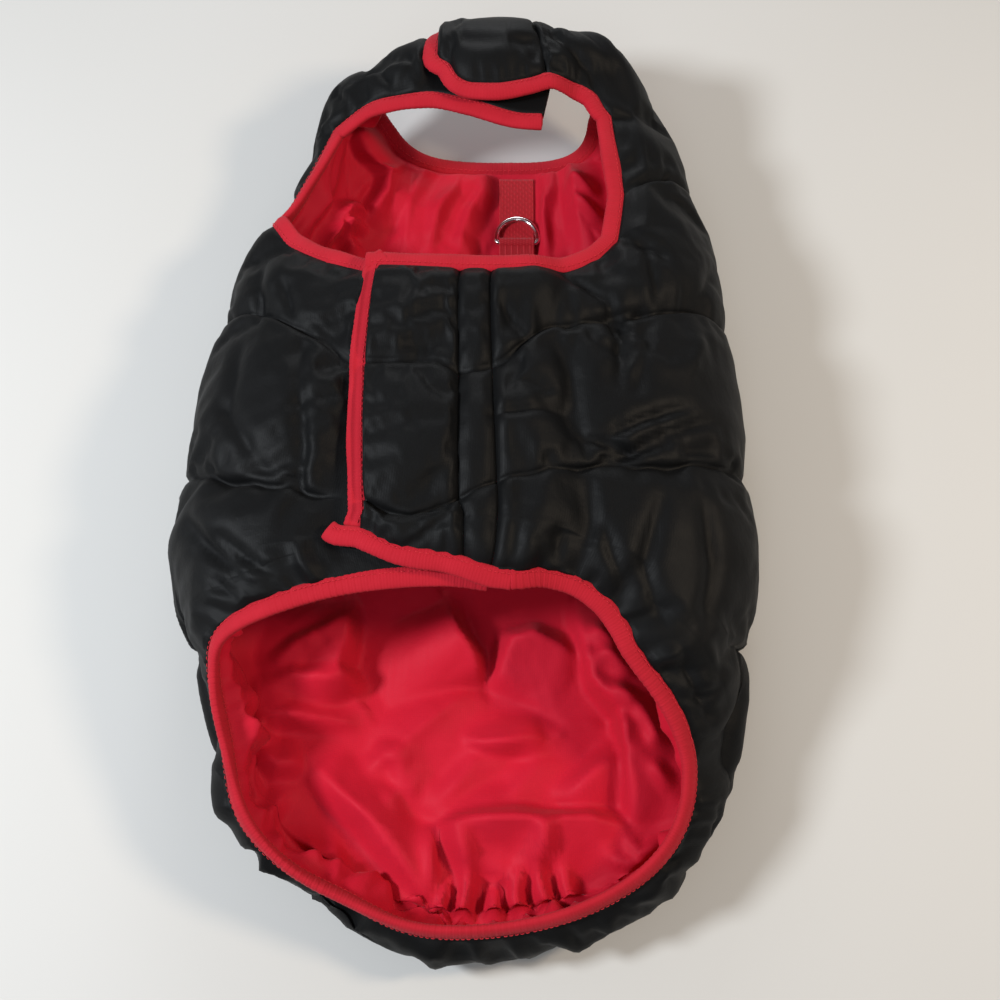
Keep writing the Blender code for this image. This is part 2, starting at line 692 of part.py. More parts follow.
def add_panels():
    end = ROW["neck"]
    left, leg_left, leg_right = (COLUMN[k] for k in ("left_end", "leg_left", "leg_right"))
    strip_right, strip_left, right = (COLUMN[k] for k in ("strip_right", "strip_left", "right_end"))
    body = [(0, ROW["leg"], (left, strip_right)), (ROW["leg"], ROW["strap"], (leg_left, leg_right)),
            (ROW["strap"], end, (left, strip_right))]
    inner_gap = seam_shift(strip_right, -1)
    shell, lining = (shell_outer, shell_inner), (lining_outer, lining_inner)
    add_wall("body_shell", body, shell, "shell", inner_gap)
    folded = (lining_outer, body_lining_inner)
    add_wall("body_lining", body, folded, "lining", inner_gap, (PLAIN_STEPS, FOLDED_STEPS))
    strip = [(0, ROW["leg"], (strip_right, strip_left))]
    between = {**seam_shift(strip_right, 1), **seam_shift(strip_left, -1)}
    add_wall("placket_strip", strip, shell, "shell", between)
    flap = [(0, ROW["leg"], (strip_left, right))]
    add_wall("belly_flap_shell", flap, shell, "shell", seam_shift(strip_left, 1))
    whole_flap = [(0, ROW["leg"], (strip_right, right))]
    over_tape = (PLAIN_STEPS, FOLDED_STEPS)
    add_wall("belly_flap_lining", whole_flap, lining, "lining", seam_shift(strip_right, 1), over_tape)
    tab = [(ROW["strap"], end, (strip_right, right))]
    add_wall("chest_tab_shell", tab, shell, "shell", seam_shift(strip_right, 1), (OUTER_STEPS, FOLDED_STEPS))
    both_fine = (FOLDED_STEPS, FOLDED_STEPS)
    add_wall("chest_tab_lining", tab, lining, "lining", seam_shift(strip_right, 1), both_fine)


def tape_faces(low, high):
    def face(height):
        def at(i, j, shift=0.0):
            s, u = place(i, j, shift)
            return form_point(s, u) + form_normal(s, u) * height
        return at
    return face(high), face(low)


def add_touch_tapes():
    """Loop tape on the under piece and hook tape on the piece that closes over it."""
    loop_low = SHELL_UNDER_FLAP + TAPE_CLEAR
    hook_low = loop_low + TOUCH_TAPE + GAP
    strip_left, right = COLUMN["strip_left"], COLUMN["right_end"]
    belly = [(ROW["quilt_c"], ROW["leg"] - 2, (strip_left + 2 * FINE, right - 2 * FINE))]
    chest = [(ROW["strap"], ROW["neck"] - 3, (strip_left, right - 2 * FINE))]
    for name, bands in (("belly", belly), ("chest", chest)):
        for kind, low in (("loop", loop_low), ("hook", hook_low)):
            faces = tape_faces(low, low + TOUCH_TAPE)
            add_wall(f"{name}_{kind}_tape", bands, faces, "tape", steps=(OUTER_STEPS, OUTER_STEPS))


def add_bindings():
    end, leg, strap = ROW["neck"], ROW["leg"], ROW["strap"]
    left, leg_left, leg_right = (COLUMN[k] for k in ("left_end", "leg_left", "leg_right"))
    right = COLUMN["right_end"]
    reach = (BINDING_WIDTH + 2 * GAP) / HALF_GIRTH
    join = COLUMN["strip_right"] - 2
    hem = run(0, (left, join))
    under_hem = moved(hem[0], du=-reach)
    add_binding("hem_binding", [under_hem] + hem, -1)
    flap_hem = run(0, (join, right))
    flap_hem[0] = moved(flap_hem[0], du=GAP / HALF_GIRTH)
    flap_corner = moved(flap_hem[-1], du=reach, ds=0.012)
    tip = moved(flap_hem[-1], du=2.2 * reach, ds=0.035)
    add_binding("flap_hem_binding", flap_hem + [flap_corner, tip], -1)
    over = run((end, strap), right)[:-1] + run(strap, (right, leg_right), FINE)[:-1]
    over += run((strap, leg), leg_right)[:-1] + run(leg, (leg_right, right), FINE)
    over.append(moved(over[-1], du=reach))
    neck = run(end, (left, right), FINE)
    neck = [moved(neck[0], du=-reach)] + neck + [moved(neck[-1], du=reach)]
    add_binding("neck_binding", neck, 1)
    add_binding("leg_binding_right", over, 1, cut=(neck[-1], None))
    under = run(leg, (left, leg_left), FINE)[:-1] + run((leg, strap), leg_left)[:-1]
    under += run(strap, (leg_left, left), FINE)[:-1] + run((strap, end), left)
    under.insert(0, moved(under[0], du=-reach))
    add_binding("leg_binding_left", under, 1, cut=(None, neck[0]))
    add_binding("flap_edge_binding", run((0, leg), right), -1, cut=(flap_corner, over[-1]))
    add_binding("underlap_edge_binding", run((0, leg), left), 1, cut=(under_hem, under[0]))


def main():
    clear_scene()
    add_panels()
    add_touch_tapes()
    add_bindings()
    add_webbing()


main()
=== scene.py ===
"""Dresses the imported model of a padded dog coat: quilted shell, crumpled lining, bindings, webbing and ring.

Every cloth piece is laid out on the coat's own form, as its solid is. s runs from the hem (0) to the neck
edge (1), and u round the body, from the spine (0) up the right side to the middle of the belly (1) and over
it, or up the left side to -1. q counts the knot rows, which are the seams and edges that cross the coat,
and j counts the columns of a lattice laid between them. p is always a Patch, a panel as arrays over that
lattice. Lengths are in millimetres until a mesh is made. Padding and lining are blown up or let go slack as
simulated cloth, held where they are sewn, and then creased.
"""

import math

import bpy
import numpy as np
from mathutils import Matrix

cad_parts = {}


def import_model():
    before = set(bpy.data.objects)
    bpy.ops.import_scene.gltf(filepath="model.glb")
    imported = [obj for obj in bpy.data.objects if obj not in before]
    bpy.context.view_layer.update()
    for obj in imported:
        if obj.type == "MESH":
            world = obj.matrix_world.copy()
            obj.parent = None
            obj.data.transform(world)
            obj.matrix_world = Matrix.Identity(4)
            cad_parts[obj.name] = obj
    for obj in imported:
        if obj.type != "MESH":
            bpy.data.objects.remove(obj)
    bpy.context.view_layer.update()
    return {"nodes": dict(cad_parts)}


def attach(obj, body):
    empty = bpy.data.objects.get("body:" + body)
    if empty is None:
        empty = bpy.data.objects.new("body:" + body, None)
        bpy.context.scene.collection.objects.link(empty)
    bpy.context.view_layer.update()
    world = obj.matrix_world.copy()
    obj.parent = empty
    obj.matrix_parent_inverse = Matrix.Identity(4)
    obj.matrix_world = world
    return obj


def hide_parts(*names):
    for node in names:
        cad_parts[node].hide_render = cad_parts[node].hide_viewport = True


MM = 0.001

# ---------------------------------------------------------------- the coat's sizes and lines
# Most are the model's own. Some edges, the quilting lines and the ring's place follow the worn coat closer.

GAP = 0.3
SEAM_HALF_GAP = 0.05
SHELL_AT_SEAM = 4.0
SHELL_PUFF = 6.5
SHELL_UNDER_FLAP = 3.5
LINING = 1.0
BINDING_WIDTH = 10.0
BINDING_COVER = 0.9
TOUCH_TAPE = 0.9
TAPE_CLEAR = 0.75
WEBBING_WIDTH = 25.0
WEBBING = 1.5
RING_WIRE = 3.5
PUFF_ROUNDNESS = 0.38
HALF_GIRTH = 370.0
BACK_LENGTH = 560.0
SIDE_ROUND = 0.12
CENTRE = (-22.5, 27.6)
LIFT = SHELL_UNDER_FLAP + 2 * (TOUCH_TAPE + TAPE_CLEAR) + LINING + 2 * GAP

RING_COLUMNS = ("s spine_y spine_z belly_y belly_z left_x right_x left_y right_y left_z right_z middle_x "
                "low_left high_left low_right high_right").split()
RINGS = np.array([
    [0.00, -258, 46, -70, 112, -161, 108, -120, -172, 78, 66, -30, 1.9, 2.3, 2.2, 1.75],
    [0.05, -263, 24, -58, 113, -168, 125, -104, -162, 60, 52, -29, 1.8, 2.3, 2.2, 1.95],
    [0.12, -247, 9, -40, 112, -177, 137, -76, -125, 52, 48, -26, 1.9, 2.3, 2.3, 2.3],
    [0.26, -150, 7, -2, 112, -188, 143, -45, -52, 50, 48, -23, 2.3, 2.5, 2.5, 2.5],
    [0.42, -40, 7, 45, 110, -182, 140, 5, 5, 48, 47, -20, 2.5, 2.5, 2.5, 2.5],
    [0.56, 60, 7, 90, 108, -174, 138, 72, 72, 47, 46, -17, 2.5, 2.5, 2.5, 2.5],
    [0.68, 120, 7, 122, 105, -163, 134, 122, 122, 47, 46, -13, 2.5, 2.5, 2.5, 2.5],
    [0.80, 172, 7, 178, 104, -142, 125, 180, 180, 48, 47, -8, 2.4, 2.4, 2.4, 2.4],
    [0.90, 222, 7, 245, 103, -120, 110, 238, 238, 49, 48, -4, 2.3, 2.3, 2.3, 2.3],
    [0.95, 244, 8, 287, 100, -113, 102, 268, 268, 50, 48, -1, 2.2, 2.2, 2.2, 2.2],
    [1.00, 260, 9, 313, 80, -100, 85, 292, 292, 48, 46, 0, 2.5, 2.2, 3.0, 2.4],
])

# Where the filled coat stands out (or in, negative) from its rings: u, s, how far, how wide round and along.
PRESSED = [
    (-0.475, 0.08, -13, 34, 40), (-0.365, 0.05, 9, 26, 30), (-0.16, 0.04, -12, 34, 32),
    (-0.52, 0.26, -7, 40, 26), (0.50, 0.10, -12, 46, 42), (0.75, 0.965, 7, 26, 16),
    (0.59, 0.93, -7, 30, 26), (-0.66, 0.965, -7, 26, 20), (-0.56, 0.775, 7, 18, 18),
    (0.44, 1.0, -21, 50, 26), (-0.42, 1.0, -17, 46, 24),
]

# Edges that cross the coat, as s at the given u.
HEM_LINE = [(-1.2, 0.0), (0.655, 0.0), (0.69, 0.004), (0.73, 0.018), (0.78, 0.034), (0.825, 0.040),
            (0.87, 0.031), (0.905, 0.010), (0.93, 0.004), (0.965, 0.013), (1.0, 0.025), (1.06, 0.042),
            (1.10, 0.074), (1.135, 0.115), (1.2, 0.18)]
LEG_LINE = [(-1.2, 0.665), (-0.97, 0.665), (-0.85, 0.668), (-0.73, 0.70), (-0.62, 0.745), (-0.54, 0.785),
            (-0.40, 0.76), (0.50, 0.74), (0.66, 0.755), (0.73, 0.742), (0.79, 0.70), (0.86, 0.672),
            (0.98, 0.66), (1.2, 0.675)]
STRAP_LINE = [(-1.2, 0.890), (-1.08, 0.890), (-0.94, 0.905), (-0.84, 0.914), (-0.70, 0.916), (-0.60, 0.905),
              (0.66, 0.898), (0.715, 0.899), (0.735, 0.905), (0.755, 0.917), (0.80, 0.923), (0.87, 0.922),
              (0.93, 0.915), (1.0, 0.910), (1.05, 0.911), (1.085, 0.917), (1.11, 0.930), (1.135, 0.936),
              (1.155, 0.950), (1.2, 0.965)]
KNOT_ROWS = "hem quilt_d quilt_c quilt_b quilt_a leg quilt_z strap neck".split()
HEM, LEG, STRAP, NECK = 0, 5, 7, 8
QUILT_Y = {"quilt_d": -200.0, "quilt_c": -100.0, "quilt_b": 0.0, "quilt_a": 100.0, "quilt_z": 203.0}
LEAST_S = {"quilt_d": 0.06, "quilt_c": 0.10}
# How far the quilting lines drop towards the belly, and the least step in s between the hem and each of them.
QUILT_DROP, LEAST_ROW_STEP = 42.0, 0.022
# How far a quilting line strays along the coat from its even course, at places round it.
QUILT_BEND = {
    "quilt_b": [(-1.2, 10), (-0.86, 13), (-0.80, 14), (-0.74, 8), (-0.68, -1), (-0.60, -4), (-0.45, 0),
                (0.60, 0), (0.70, 11), (0.76, 21), (0.82, 29), (0.88, 26), (0.94, 20), (1.0, 7), (1.05, -3),
                (1.10, -12), (1.2, -12)],
    "quilt_a": [(-1.2, -8), (-0.86, -7), (-0.76, 3), (-0.64, 1), (0.50, 0), (0.64, 4), (0.74, 14), (0.82, 22),
                (0.86, 20), (0.91, 6), (0.95, -8), (1.0, -14), (1.05, -8), (1.2, -7)],
}
# Seams and edges that run along the coat: their columns on the lattice, and their u at each knot row.
COLUMN = {"left_end": 0, "leg_left": 36, "spine": 78, "leg_right": 132, "strip_right": 150,
          "strip_left": 156, "right_end": 174}
BODY_U = {
    "left_end": (-1.04, -1.04, -1.04, -1.04, -1.04, -1.04, -1.10, -1.118, -1.18),
    "leg_left": (-0.52, -0.52, -0.52, -0.52, -0.52, -0.525, -0.545, -0.60, -0.60),
    "spine": (0.0,) * 9,
    "leg_right": (0.72, 0.72, 0.72, 0.72, 0.73, 0.745, 0.72, 0.72, 0.72),
    "strip_right": (0.935, 0.94, 0.945, 0.95, 0.96, 0.975, 0.88, 0.88, 0.93),
    "strip_left": (0.975, 0.98, 0.985, 0.995, 1.01, 1.03, 0.93, 0.93, 0.98),
    "right_end": (1.112, 1.110, 1.106, 1.108, 1.15, 1.17, 1.14, 1.14, 1.14),
}
# Where u goes from one part of the coat to the next: onto the lap that the flap and the tab close over, onto
# what closes over it at the belly and at the chest, into the shell that is seen and the lining that isn't.
LAP, OVER_BELLY, OVER_CHEST = (0.80, 0.86), (0.83, 0.915), (0.79, 0.875)
SHELL_SEEN, LINING_HIDDEN = (0.45, 0.60), (0.62, 0.74)

# ---------------------------------------------------------------- sizes of what this script adds

# Cloth is simulated on SIM_ROWS rows between the knot rows above, then refined FINER times.
SIM_ROWS = (12, 20, 20, 20, 14, 12, 6, 12)
ROW_AT = np.concatenate([[0], np.cumsum(SIM_ROWS)])
FINER = 2
# A cell's rough size before that, and how far in from a patch's edge the count of cells goes, in mm.
CELL, FAR_IN = 5.0, 25.0
# How many cells of the outer face one cell of a pad's inner face takes up, along and round.
INNER_ROWS, INNER_COLUMNS = 4, 6
CLOTH_FRAMES = 22
CLOTH = {"quality": 6, "mass": 0.2, "air_damping": 4.0, "bending_stiffness": 0.08}
# How much each kind of cloth grows, its pressure, and how far it may go in, out and sideways.
BLOWN, NARROW = (0.055, 6.0, (-2.5, 5.0, 2.5)), (0.008, 3.0, (-1.0, 2.5, 1.0))
LOOSE = (0.045, -0.4, (-6.0, 2.5, 3.0))
# How many times the cloth's moves are evened between rows that lie close together, and how close: fully below
# the first value in mm, and not at all above the second.
EVENED, CLOSE_ROWS = 10, (2.2, 4.5)

SEAM_GROOVE, SEAM_GROOVE_WIDTH = 3.4, 2.8
# How far a pad's inner face lies off the form, the least wall over it, and the least gap to the lining. How far
# the lining lies in from the form where it is sewn, and how much more where it hangs loose.
INNER_SINK, LEAST_WALL, LINING_CLEAR = 1.2, 0.6, 0.5
LINING_DEPTH, LINING_BILLOW = GAP + 0.8 * LINING, 5.0

# Listed creases: height (down is negative), half width, and the line on the plan that each follows.
SHELL_CREASES = [
    (-5.0, 4.5, [(-151, -60), (-133, -82), (-116, -100)]),
    (-4.0, 4.0, [(-131, -72), (-114, -90), (-96, -104)]),
    (-3.5, 4.0, [(-84, -77), (-76, -92), (-65, -102)]),
    (-3.5, 5.0, [(-95, 48), (-89, -21), (-87, -80)]),
    (-2.5, 3.0, [(-129, -98), (-115, -120)]),
    (-2.5, 3.0, [(-104, -104), (-95, -120)]),
    (-2.5, 3.0, [(-144, -37), (-111, -49)]),
    (-2.0, 2.5, [(-91, -52), (-66, -56)]),
    (-3.0, 4.0, [(-120, 112), (-122, 58)]),
    (-2.5, 3.5, [(-107, 91), (-98, 55)]),
    (-2.5, 5.0, [(-138, 11), (-109, -39)]),
    (-2.0, 4.0, [(-76, 5), (-80, -39)]),
    (-2.5, 5.0, [(-128, 44), (-130, -4)]),
    (-3.5, 4.0, [(60, 90), (85, 70)]),
    (-5.0, 5.0, [(87, 73), (92, 46), (89, 10)]),
    (-3.5, 4.0, [(73, 54), (92, 62), (110, 65)]),
    (-3.5, 4.5, [(97, 122), (121, 104)]),
    (3.0, 6.0, [(138, 52), (129, 22)]),
    (-4.0, 4.0, [(79, -23), (103, -9), (128, 3)]),
    (-3.0, 3.5, [(88, -32), (121, -18)]),
    (-3.5, 4.0, [(82, -41), (103, -21), (141, -2)]),
    (-3.0, 3.0, [(17, -14), (56, -8)]),
    (-2.5, 3.5, [(22, 62), (40, 32)]),
    (-2.0, 5.0, [(58, 29), (62, -37)]),
    (-2.5, 5.0, [(106, 40), (98, 4)]),
    (-3.5, 5.0, [(111, -54), (100, -93), (108, -125)]),
    (-2.5, 4.0, [(78, -70), (88, -105)]),
    (-3.5, 5.0, [(131, -53), (135, -89), (128, -123)]),
    (-2.0, 3.5, [(55, -74), (52, -96)]),
    (-2.5, 3.5, [(94, -136), (120, -154)]),
    (-3.0, 4.0, [(116, -135), (134, -175)]),
    (-3.0, 4.0, [(109, 109), (113, 74)]),
    (-2.0, 4.0, [(58, 81), (55, 53)]),
    (-2.5, 4.0, [(150, 116), (140, 82)]),
    (-3.0, 4.0, [(49, 270), (66, 256), (82, 245)]),
    (-2.0, 3.0, [(75, 270), (89, 258)]),
    (-3.0, 3.0, [(-53, 249), (-43, 228)]),
    (-3.0, 3.0, [(-37, 258), (-26, 226)]),
    (-2.5, 3.0, [(-20, 252), (-13, 230)]),
    (-2.5, 3.0, [(-70, 233), (-60, 222)]),
]
# Folds of the lining: height in steps of FOLD_HEIGHT mm, how far each falls away to the left and right of its
# way, and the way. From LARGE_FOLD steps on they are facets, whose meetings are rounded over SOFT_MEETING mm.
# BEND_BLEND mm rounds what a fold does at a bend of its way.
FOLD_HEIGHT, LARGE_FOLD, SOFT_MEETING, BEND_BLEND = 1.4, 10, 4.0, 4.0
LINING_FOLDS = [
    (24, 8, 62, [(-12, -88), (-2, -110), (8, -126), (11, -142)]),
    (13, 40, 26, [(10, -140), (-8, -155), (-28, -172), (-48, -190)]),
    (17, 12, 40, [(19, -146), (25, -130), (31, -116), (44, -113), (58, -119), (74, -130)]),
    (13, 26, 10, [(-3, -170), (4, -175), (14, -178), (30, -177), (50, -174)]),
    (10, 26, 18, [(13, -178), (2, -195), (-9, -209), (-20, -222)]),
    (9, 26, 12, [(50, -181), (41, -194), (30, -206), (8, -218), (-14, -227)]),
    (12, 22, 12, [(96, -181), (78, -196), (58, -214)]),
    (19, 9, 38, [(-18, -228), (0, -223), (32, -221), (50, -223), (74, -221), (100, -228)]),
    (8, 9, 9, [(-3, -226), (3, -245), (4, -262)]),
    (8, 9, 9, [(50, -224), (49, -238), (40, -244)]),
    (5, 8, 8, [(-1, -239), (16, -248), (30, -255), (48, -240)]),
    (13, 6, 32, [(-17, -224), (-17, -244), (-16, -268)]),
    (18, 26, 12, [(-88, -192), (-74, -207), (-54, -224), (-38, -242), (-25, -259), (-15, -271)]),
    (20, 9, 52, [(-72, -90), (-70, -118), (-76, -132), (-64, -149)]),
    (13, 26, 10, [(-136, -156), (-122, -163), (-98, -164), (-62, -167)]),
    (11, 20, 9, [(-126, -187), (-112, -194), (-94, -190)]),
    (8, 16, 8, [(-70, -103), (-86, -113), (-103, -120), (-118, -134)]),
    (7, 14, 8, [(-66, -140), (-84, -142), (-104, -140), (-122, -148)]),
    (22, 42, 8, [(70, -96), (75, -120), (80, -142), (96, -160), (100, -182), (102, -226)]),
    (8, 8, 10, [(80, -110), (90, -116), (97, -124)]),
    (8, 8, 10, [(82, -125), (93, -128), (106, -140)]),
    (8, 7, 9, [(92, -146), (108, -156)]),
    (8, 9, 8, [(106, -155), (114, -166), (121, -182)]),
    (6, 7, 8, [(116, -192), (127, -208)]),
    (9, 8, 7, [(-34, -270), (-28, -280), (-22, -290)]),
    (12, 6, 9, [(-6, -254), (-12, -270), (-14, -290)]),
    (13, 7, 7, [(6, -252), (1, -270), (0, -292)]),
    (12, 6, 8, [(20, -258), (19, -292)]),
    (13, 9, 6, [(33, -246), (31, -268), (38, -290)]),
    (13, 7, 10, [(44, -236), (46, -258), (52, -275), (55, -290)]),
    (10, 9, 8, [(57, -236), (61, -260), (68, -284)]),
    (10, 8, 10, [(92, -230), (106, -243), (118, -236)]),
    (10, 9, 8, [(74, -238), (94, -247), (108, -250)]),
    (7, 9, 9, [(-78, -236), (-73, -251), (-70, -266)]),
    (5, 9, 9, [(-92, -234), (-84, -250), (-86, -262)]),
    (9, 8, 8, [(-62, -260), (-52, -273), (-46, -288)]),
    (5, 9, 9, [(-106, -208), (-116, -224), (-122, -236)]),
    (9, 9, 8, [(-118, -172), (-132, -178), (-142, -184)]),
    (7, 14, 14, [(-46, -212), (-36, -204), (-24, -206)]),
    (6, 11, 14, [(-58, -196), (-46, -186), (-30, -190)]),
    (13, 7, 14, [(-106, 180), (-94, 187), (-84, 190), (-74, 186)]),
    (11, 7, 9, [(-99, 184), (-102, 168), (-106, 156)]),
    (12, 12, 7, [(-104, 179), (-88, 177), (-72, 175)]),
    (9, 7, 9, [(-94, 174), (-86, 166), (-77, 156)]),
    (15, 18, 12, [(-80, 244), (-70, 232), (-60, 222), (-60, 204), (-74, 180)]),
    (8, 14, 16, [(-4, 236), (-9, 217), (-22, 190), (-28, 150)]),
    (8, 12, 14, [(7, 234), (9, 212), (-4, 176), (-8, 140)]),
    (6, 12, 14, [(-30, 236), (-42, 200), (-44, 160)]),
    (7, 10, 14, [(62, 236), (61, 215), (52, 190), (50, 150)]),
    (12, 20, 12, [(74, 244), (78, 220), (82, 196), (80, 160)]),
    (7, 6, 8, [(80, 218), (95, 197)]),
    (6, 6, 8, [(82, 197), (98, 180)]),
    (7, 36, 32, [(-60, 60), (-20, -20), (-30, -70)]),
    (8, 32, 36, [(20, 90), (60, 10), (50, -60)]),
    (9, 28, 24, [(-100, 100), (-60, 110), (-46, 140)]),
]
# Gathers along the drawn-up hem: how many, how wide, how far in, how high on each cloth, and up to which u.
HEM_GATHERS, HEM_GATHER_SEED = 118, 7
HEM_GATHER_WIDTH, HEM_GATHER_REACH = (2.4, 5.0), (16, 52)
SHELL_GATHERS, LINING_GATHERS = 2.2, 2.8
HEM_DRAWN_TO = (0.90, 0.98)
STRAY_CREASES, STRAY_SEED = 46, 11
# Puckers across each quilting line.
PUCKERS, PUCKER_SEED, PUCKER_HEIGHT, PUCKER_SPACING, PUCKER_REACH = 220, 31, 1.8, (3.2, 8.5), 7.0

WEBBING_X = 12.0 - CENTRE[0]
WEBBING_FROM_Y, WEBBING_TO_Y = 255.0 - CENTRE[1], 120.0 - CENTRE[1]
RING_BAR_Y = 200.0 - CENTRE[1]
# The middle of the ring's wire over the lining.
RING_RISE = WEBBING + RING_WIRE / 2 + 3 * GAP
LOOP_FROM_Y, LOOP_TO_Y = RING_BAR_Y - 30.0, RING_BAR_Y - 8.0
STITCH, STITCH_GAP, THREAD = 2.3, 0.9, 0.24
WEBBING_STITCH_X, WEBBING_STITCH_PITCH = 10.3, 3.9
# The webbing's cross ribs, in stations along it.
WEFT_EVERY = 3.0
BINDING_STITCH_IN, BINDING_SEED = 1.9, 21
# About how many cells lie between two knot rows, and the steps along a binding in cells.
CELLS_A_KNOT, WAY_STEP = 18, 0.25
# How far the flap's hem binding starts under the hem's, in mm, and how far both bindings run on at the flap's
# corner: in (widths of binding round, s) for the hem's, and in (u, s) for the edge's.
HEM_JOIN, HEM_CORNER, EDGE_CORNER = 4.0, ((1.0, 0.012), (1.3, 0.030)), (-0.016, 0.014)
# Where a rolled tape's groove runs, from the panel's edge, and its half width.
GROOVE_AT, GROOVE_WIDTH = 5.4, 1.1
UP, ACROSS = np.array([0.0, 0.0, 1.0]), np.array([1.0, 0.0, 0.0])

# The stage is in metres.
CAMERA_TARGET = (0.0225, -0.0276, 0.03)
CAMERA_DISTANCE, CAMERA_ELEVATION, CAMERA_FOV = 0.75, 70, 46
FLOOR_HALF = 6
LIGHTS_AIM = np.array([0.0, 0.0, 0.05])
# Each light's name, place, size, power and colour.
LIGHTS = [
    ("window", (-0.95, -0.16, 0.98), 0.26, 17.5, (0.90, 0.95, 1.0)),
    ("lamp", (0.90, -0.06, 0.95), 0.22, 8.0, (1.0, 0.82, 0.62)),
    ("room", (-0.1, -1.0, 1.35), 0.6, 3.5, (0.98, 0.98, 1.0)),
    ("behind", (0.0, 1.3, 0.60), 0.5, 5.0, (0.96, 0.98, 1.0)),
]
WORLD_COLOUR, WORLD_STRENGTH = (0.93, 0.95, 1.0, 1.0), 0.27


# ---------------------------------------------------------------- curves and lines

def unit(vectors):
    return vectors / np.maximum(np.linalg.norm(vectors, axis=-1, keepdims=True), 1e-9)


def ease(x, low, high):
    """0 below low, 1 above high, and a soft step between."""
    t = np.clip((x - low) / (high - low), 0, 1)
    return t * t * (3 - 2 * t)


def bell(x, width, power=2):
    """1 at 0, and less the farther x is from it."""
    return np.exp(-(np.abs(x / width) ** power))


def squared(wave, fullness):
    """A sine or cosine that makes a circle (fullness 2) or draws it out towards a square."""
    return np.sign(wave) * np.abs(wave) ** (2 / fullness)


def pair(table, k):
    """Entries k and k + 1 of each row of a table."""
    found = np.take_along_axis(table, np.stack([k, k + 1], axis=-1), -1)
    return found[..., 0], found[..., 1]


def lengths_along(points):
    return np.concatenate([[0], np.cumsum(np.linalg.norm(np.diff(points, axis=0), axis=1))])


def resampled(values, at, even):
    """Columns of values that are given at some lengths, read at even ones."""
    return np.stack([np.interp(even, at, column) for column in values.T], axis=1)


def smoothed(values, reach):
    """Running mean over reach stations each way, with the ends held."""
    padded = np.concatenate([np.repeat(values[:1], reach, 0), values, np.repeat(values[-1:], reach, 0)])
    total = np.cumsum(np.concatenate([np.zeros((1,) + values.shape[1:]), padded]), axis=0)
    return (total[2 * reach + 1:] - total[:-2 * reach - 1]) / (2 * reach + 1)


# ---------------------------------------------------------------- the form

def smooth_columns(x, rows):
    """Each column of the table at x, on a curve that never overshoots its rows."""
    at, values = rows[:, 0], rows[:, 1:]
    step = np.diff(at)[:, None]
    slope = np.diff(values, axis=0) / step
    tangent = np.zeros_like(values)
    tangent[0], tangent[-1] = slope[0], slope[-1]
    first, last = 2 * step[1:] + step[:-1], step[1:] + 2 * step[:-1]
    same = slope[:-1] * slope[1:] > 0
    safe = np.where(same, slope[:-1], 1.0), np.where(same, slope[1:], 1.0)
    tangent[1:-1] = np.where(same, (first + last) / (first / safe[0] + last / safe[1]), 0)
    i = np.clip(np.searchsorted(at, x) - 1, 0, len(at) - 2)
    t = ((x - at[i]) / step[i, 0])[:, None]
    return ((1 + 2 * t) * (1 - t) ** 2 * values[i] + t * (1 - t) ** 2 * step[i] * tangent[i]
            + t * t * (3 - 2 * t) * values[i + 1] + t * t * (t - 1) * step[i] * tangent[i + 1])


def half_ring(ring, side, count):
    """Points from the spine to the belly over one side of a ring, evenly spaced along it."""
    angle = np.linspace(0, math.pi, 241)
    low = angle < math.pi / 2
    fullness = np.where(low, ring["low_" + side], ring["high_" + side])
    out, up = squared(np.sin(angle), fullness), squared(np.cos(angle), fullness)
    rise = (1 - up) / 2
    ease_out = out * out * (1 + SIDE_ROUND - np.hypot(up, SIDE_ROUND))
    mid_y, mid_z = (ring["spine_y"] + ring["belly_y"]) / 2, (ring["spine_z"] + ring["belly_z"]) / 2
    points = np.stack([
        ring["middle_x"] + (ring[side + "_x"] - ring["middle_x"]) * out,
        ring["spine_y"] + (ring["belly_y"] - ring["spine_y"]) * rise + (ring[side + "_y"] - mid_y) * ease_out,
        ring["spine_z"] + (ring["belly_z"] - ring["spine_z"]) * rise + (ring[side + "_z"] - mid_z) * ease_out,
    ], axis=1)
    length = lengths_along(points)
    return resampled(points, length, np.linspace(0, length[-1], count))


def make_form(rows=161, half=161):
    """The form as a grid of points: rows along s, and 2 * half - 1 points round each, from u = -1 to 1."""
    grid = []
    for values in smooth_columns(np.linspace(0, 1, rows), RINGS):
        ring = dict(zip(RING_COLUMNS[1:], values))
        left, right = half_ring(ring, "left", half), half_ring(ring, "right", half)
        grid.append(np.concatenate([left[::-1], right[1:]]))
    return pressed(np.array(grid) - [CENTRE[0], CENTRE[1], 0.0])


def pressed(grid):
    """The form with its dents and swellings."""
    s = np.linspace(0, 1, grid.shape[0])[:, None] * BACK_LENGTH
    u = np.linspace(-1, 1, grid.shape[1])[None] * HALF_GIRTH
    normal = unit(np.cross(np.gradient(grid, axis=0), np.gradient(grid, axis=1)))
    push = np.zeros(grid.shape[:2])
    for u_at, s_at, height, round_it, along in PRESSED:
        away = np.abs(u - u_at * HALF_GIRTH)
        away = np.minimum(away, 2 * HALF_GIRTH - away)
        push += height * np.exp(-(away / round_it) ** 2 - ((s - s_at * BACK_LENGTH) / along) ** 2)
    return grid + normal * push[..., None]


FORM = make_form()


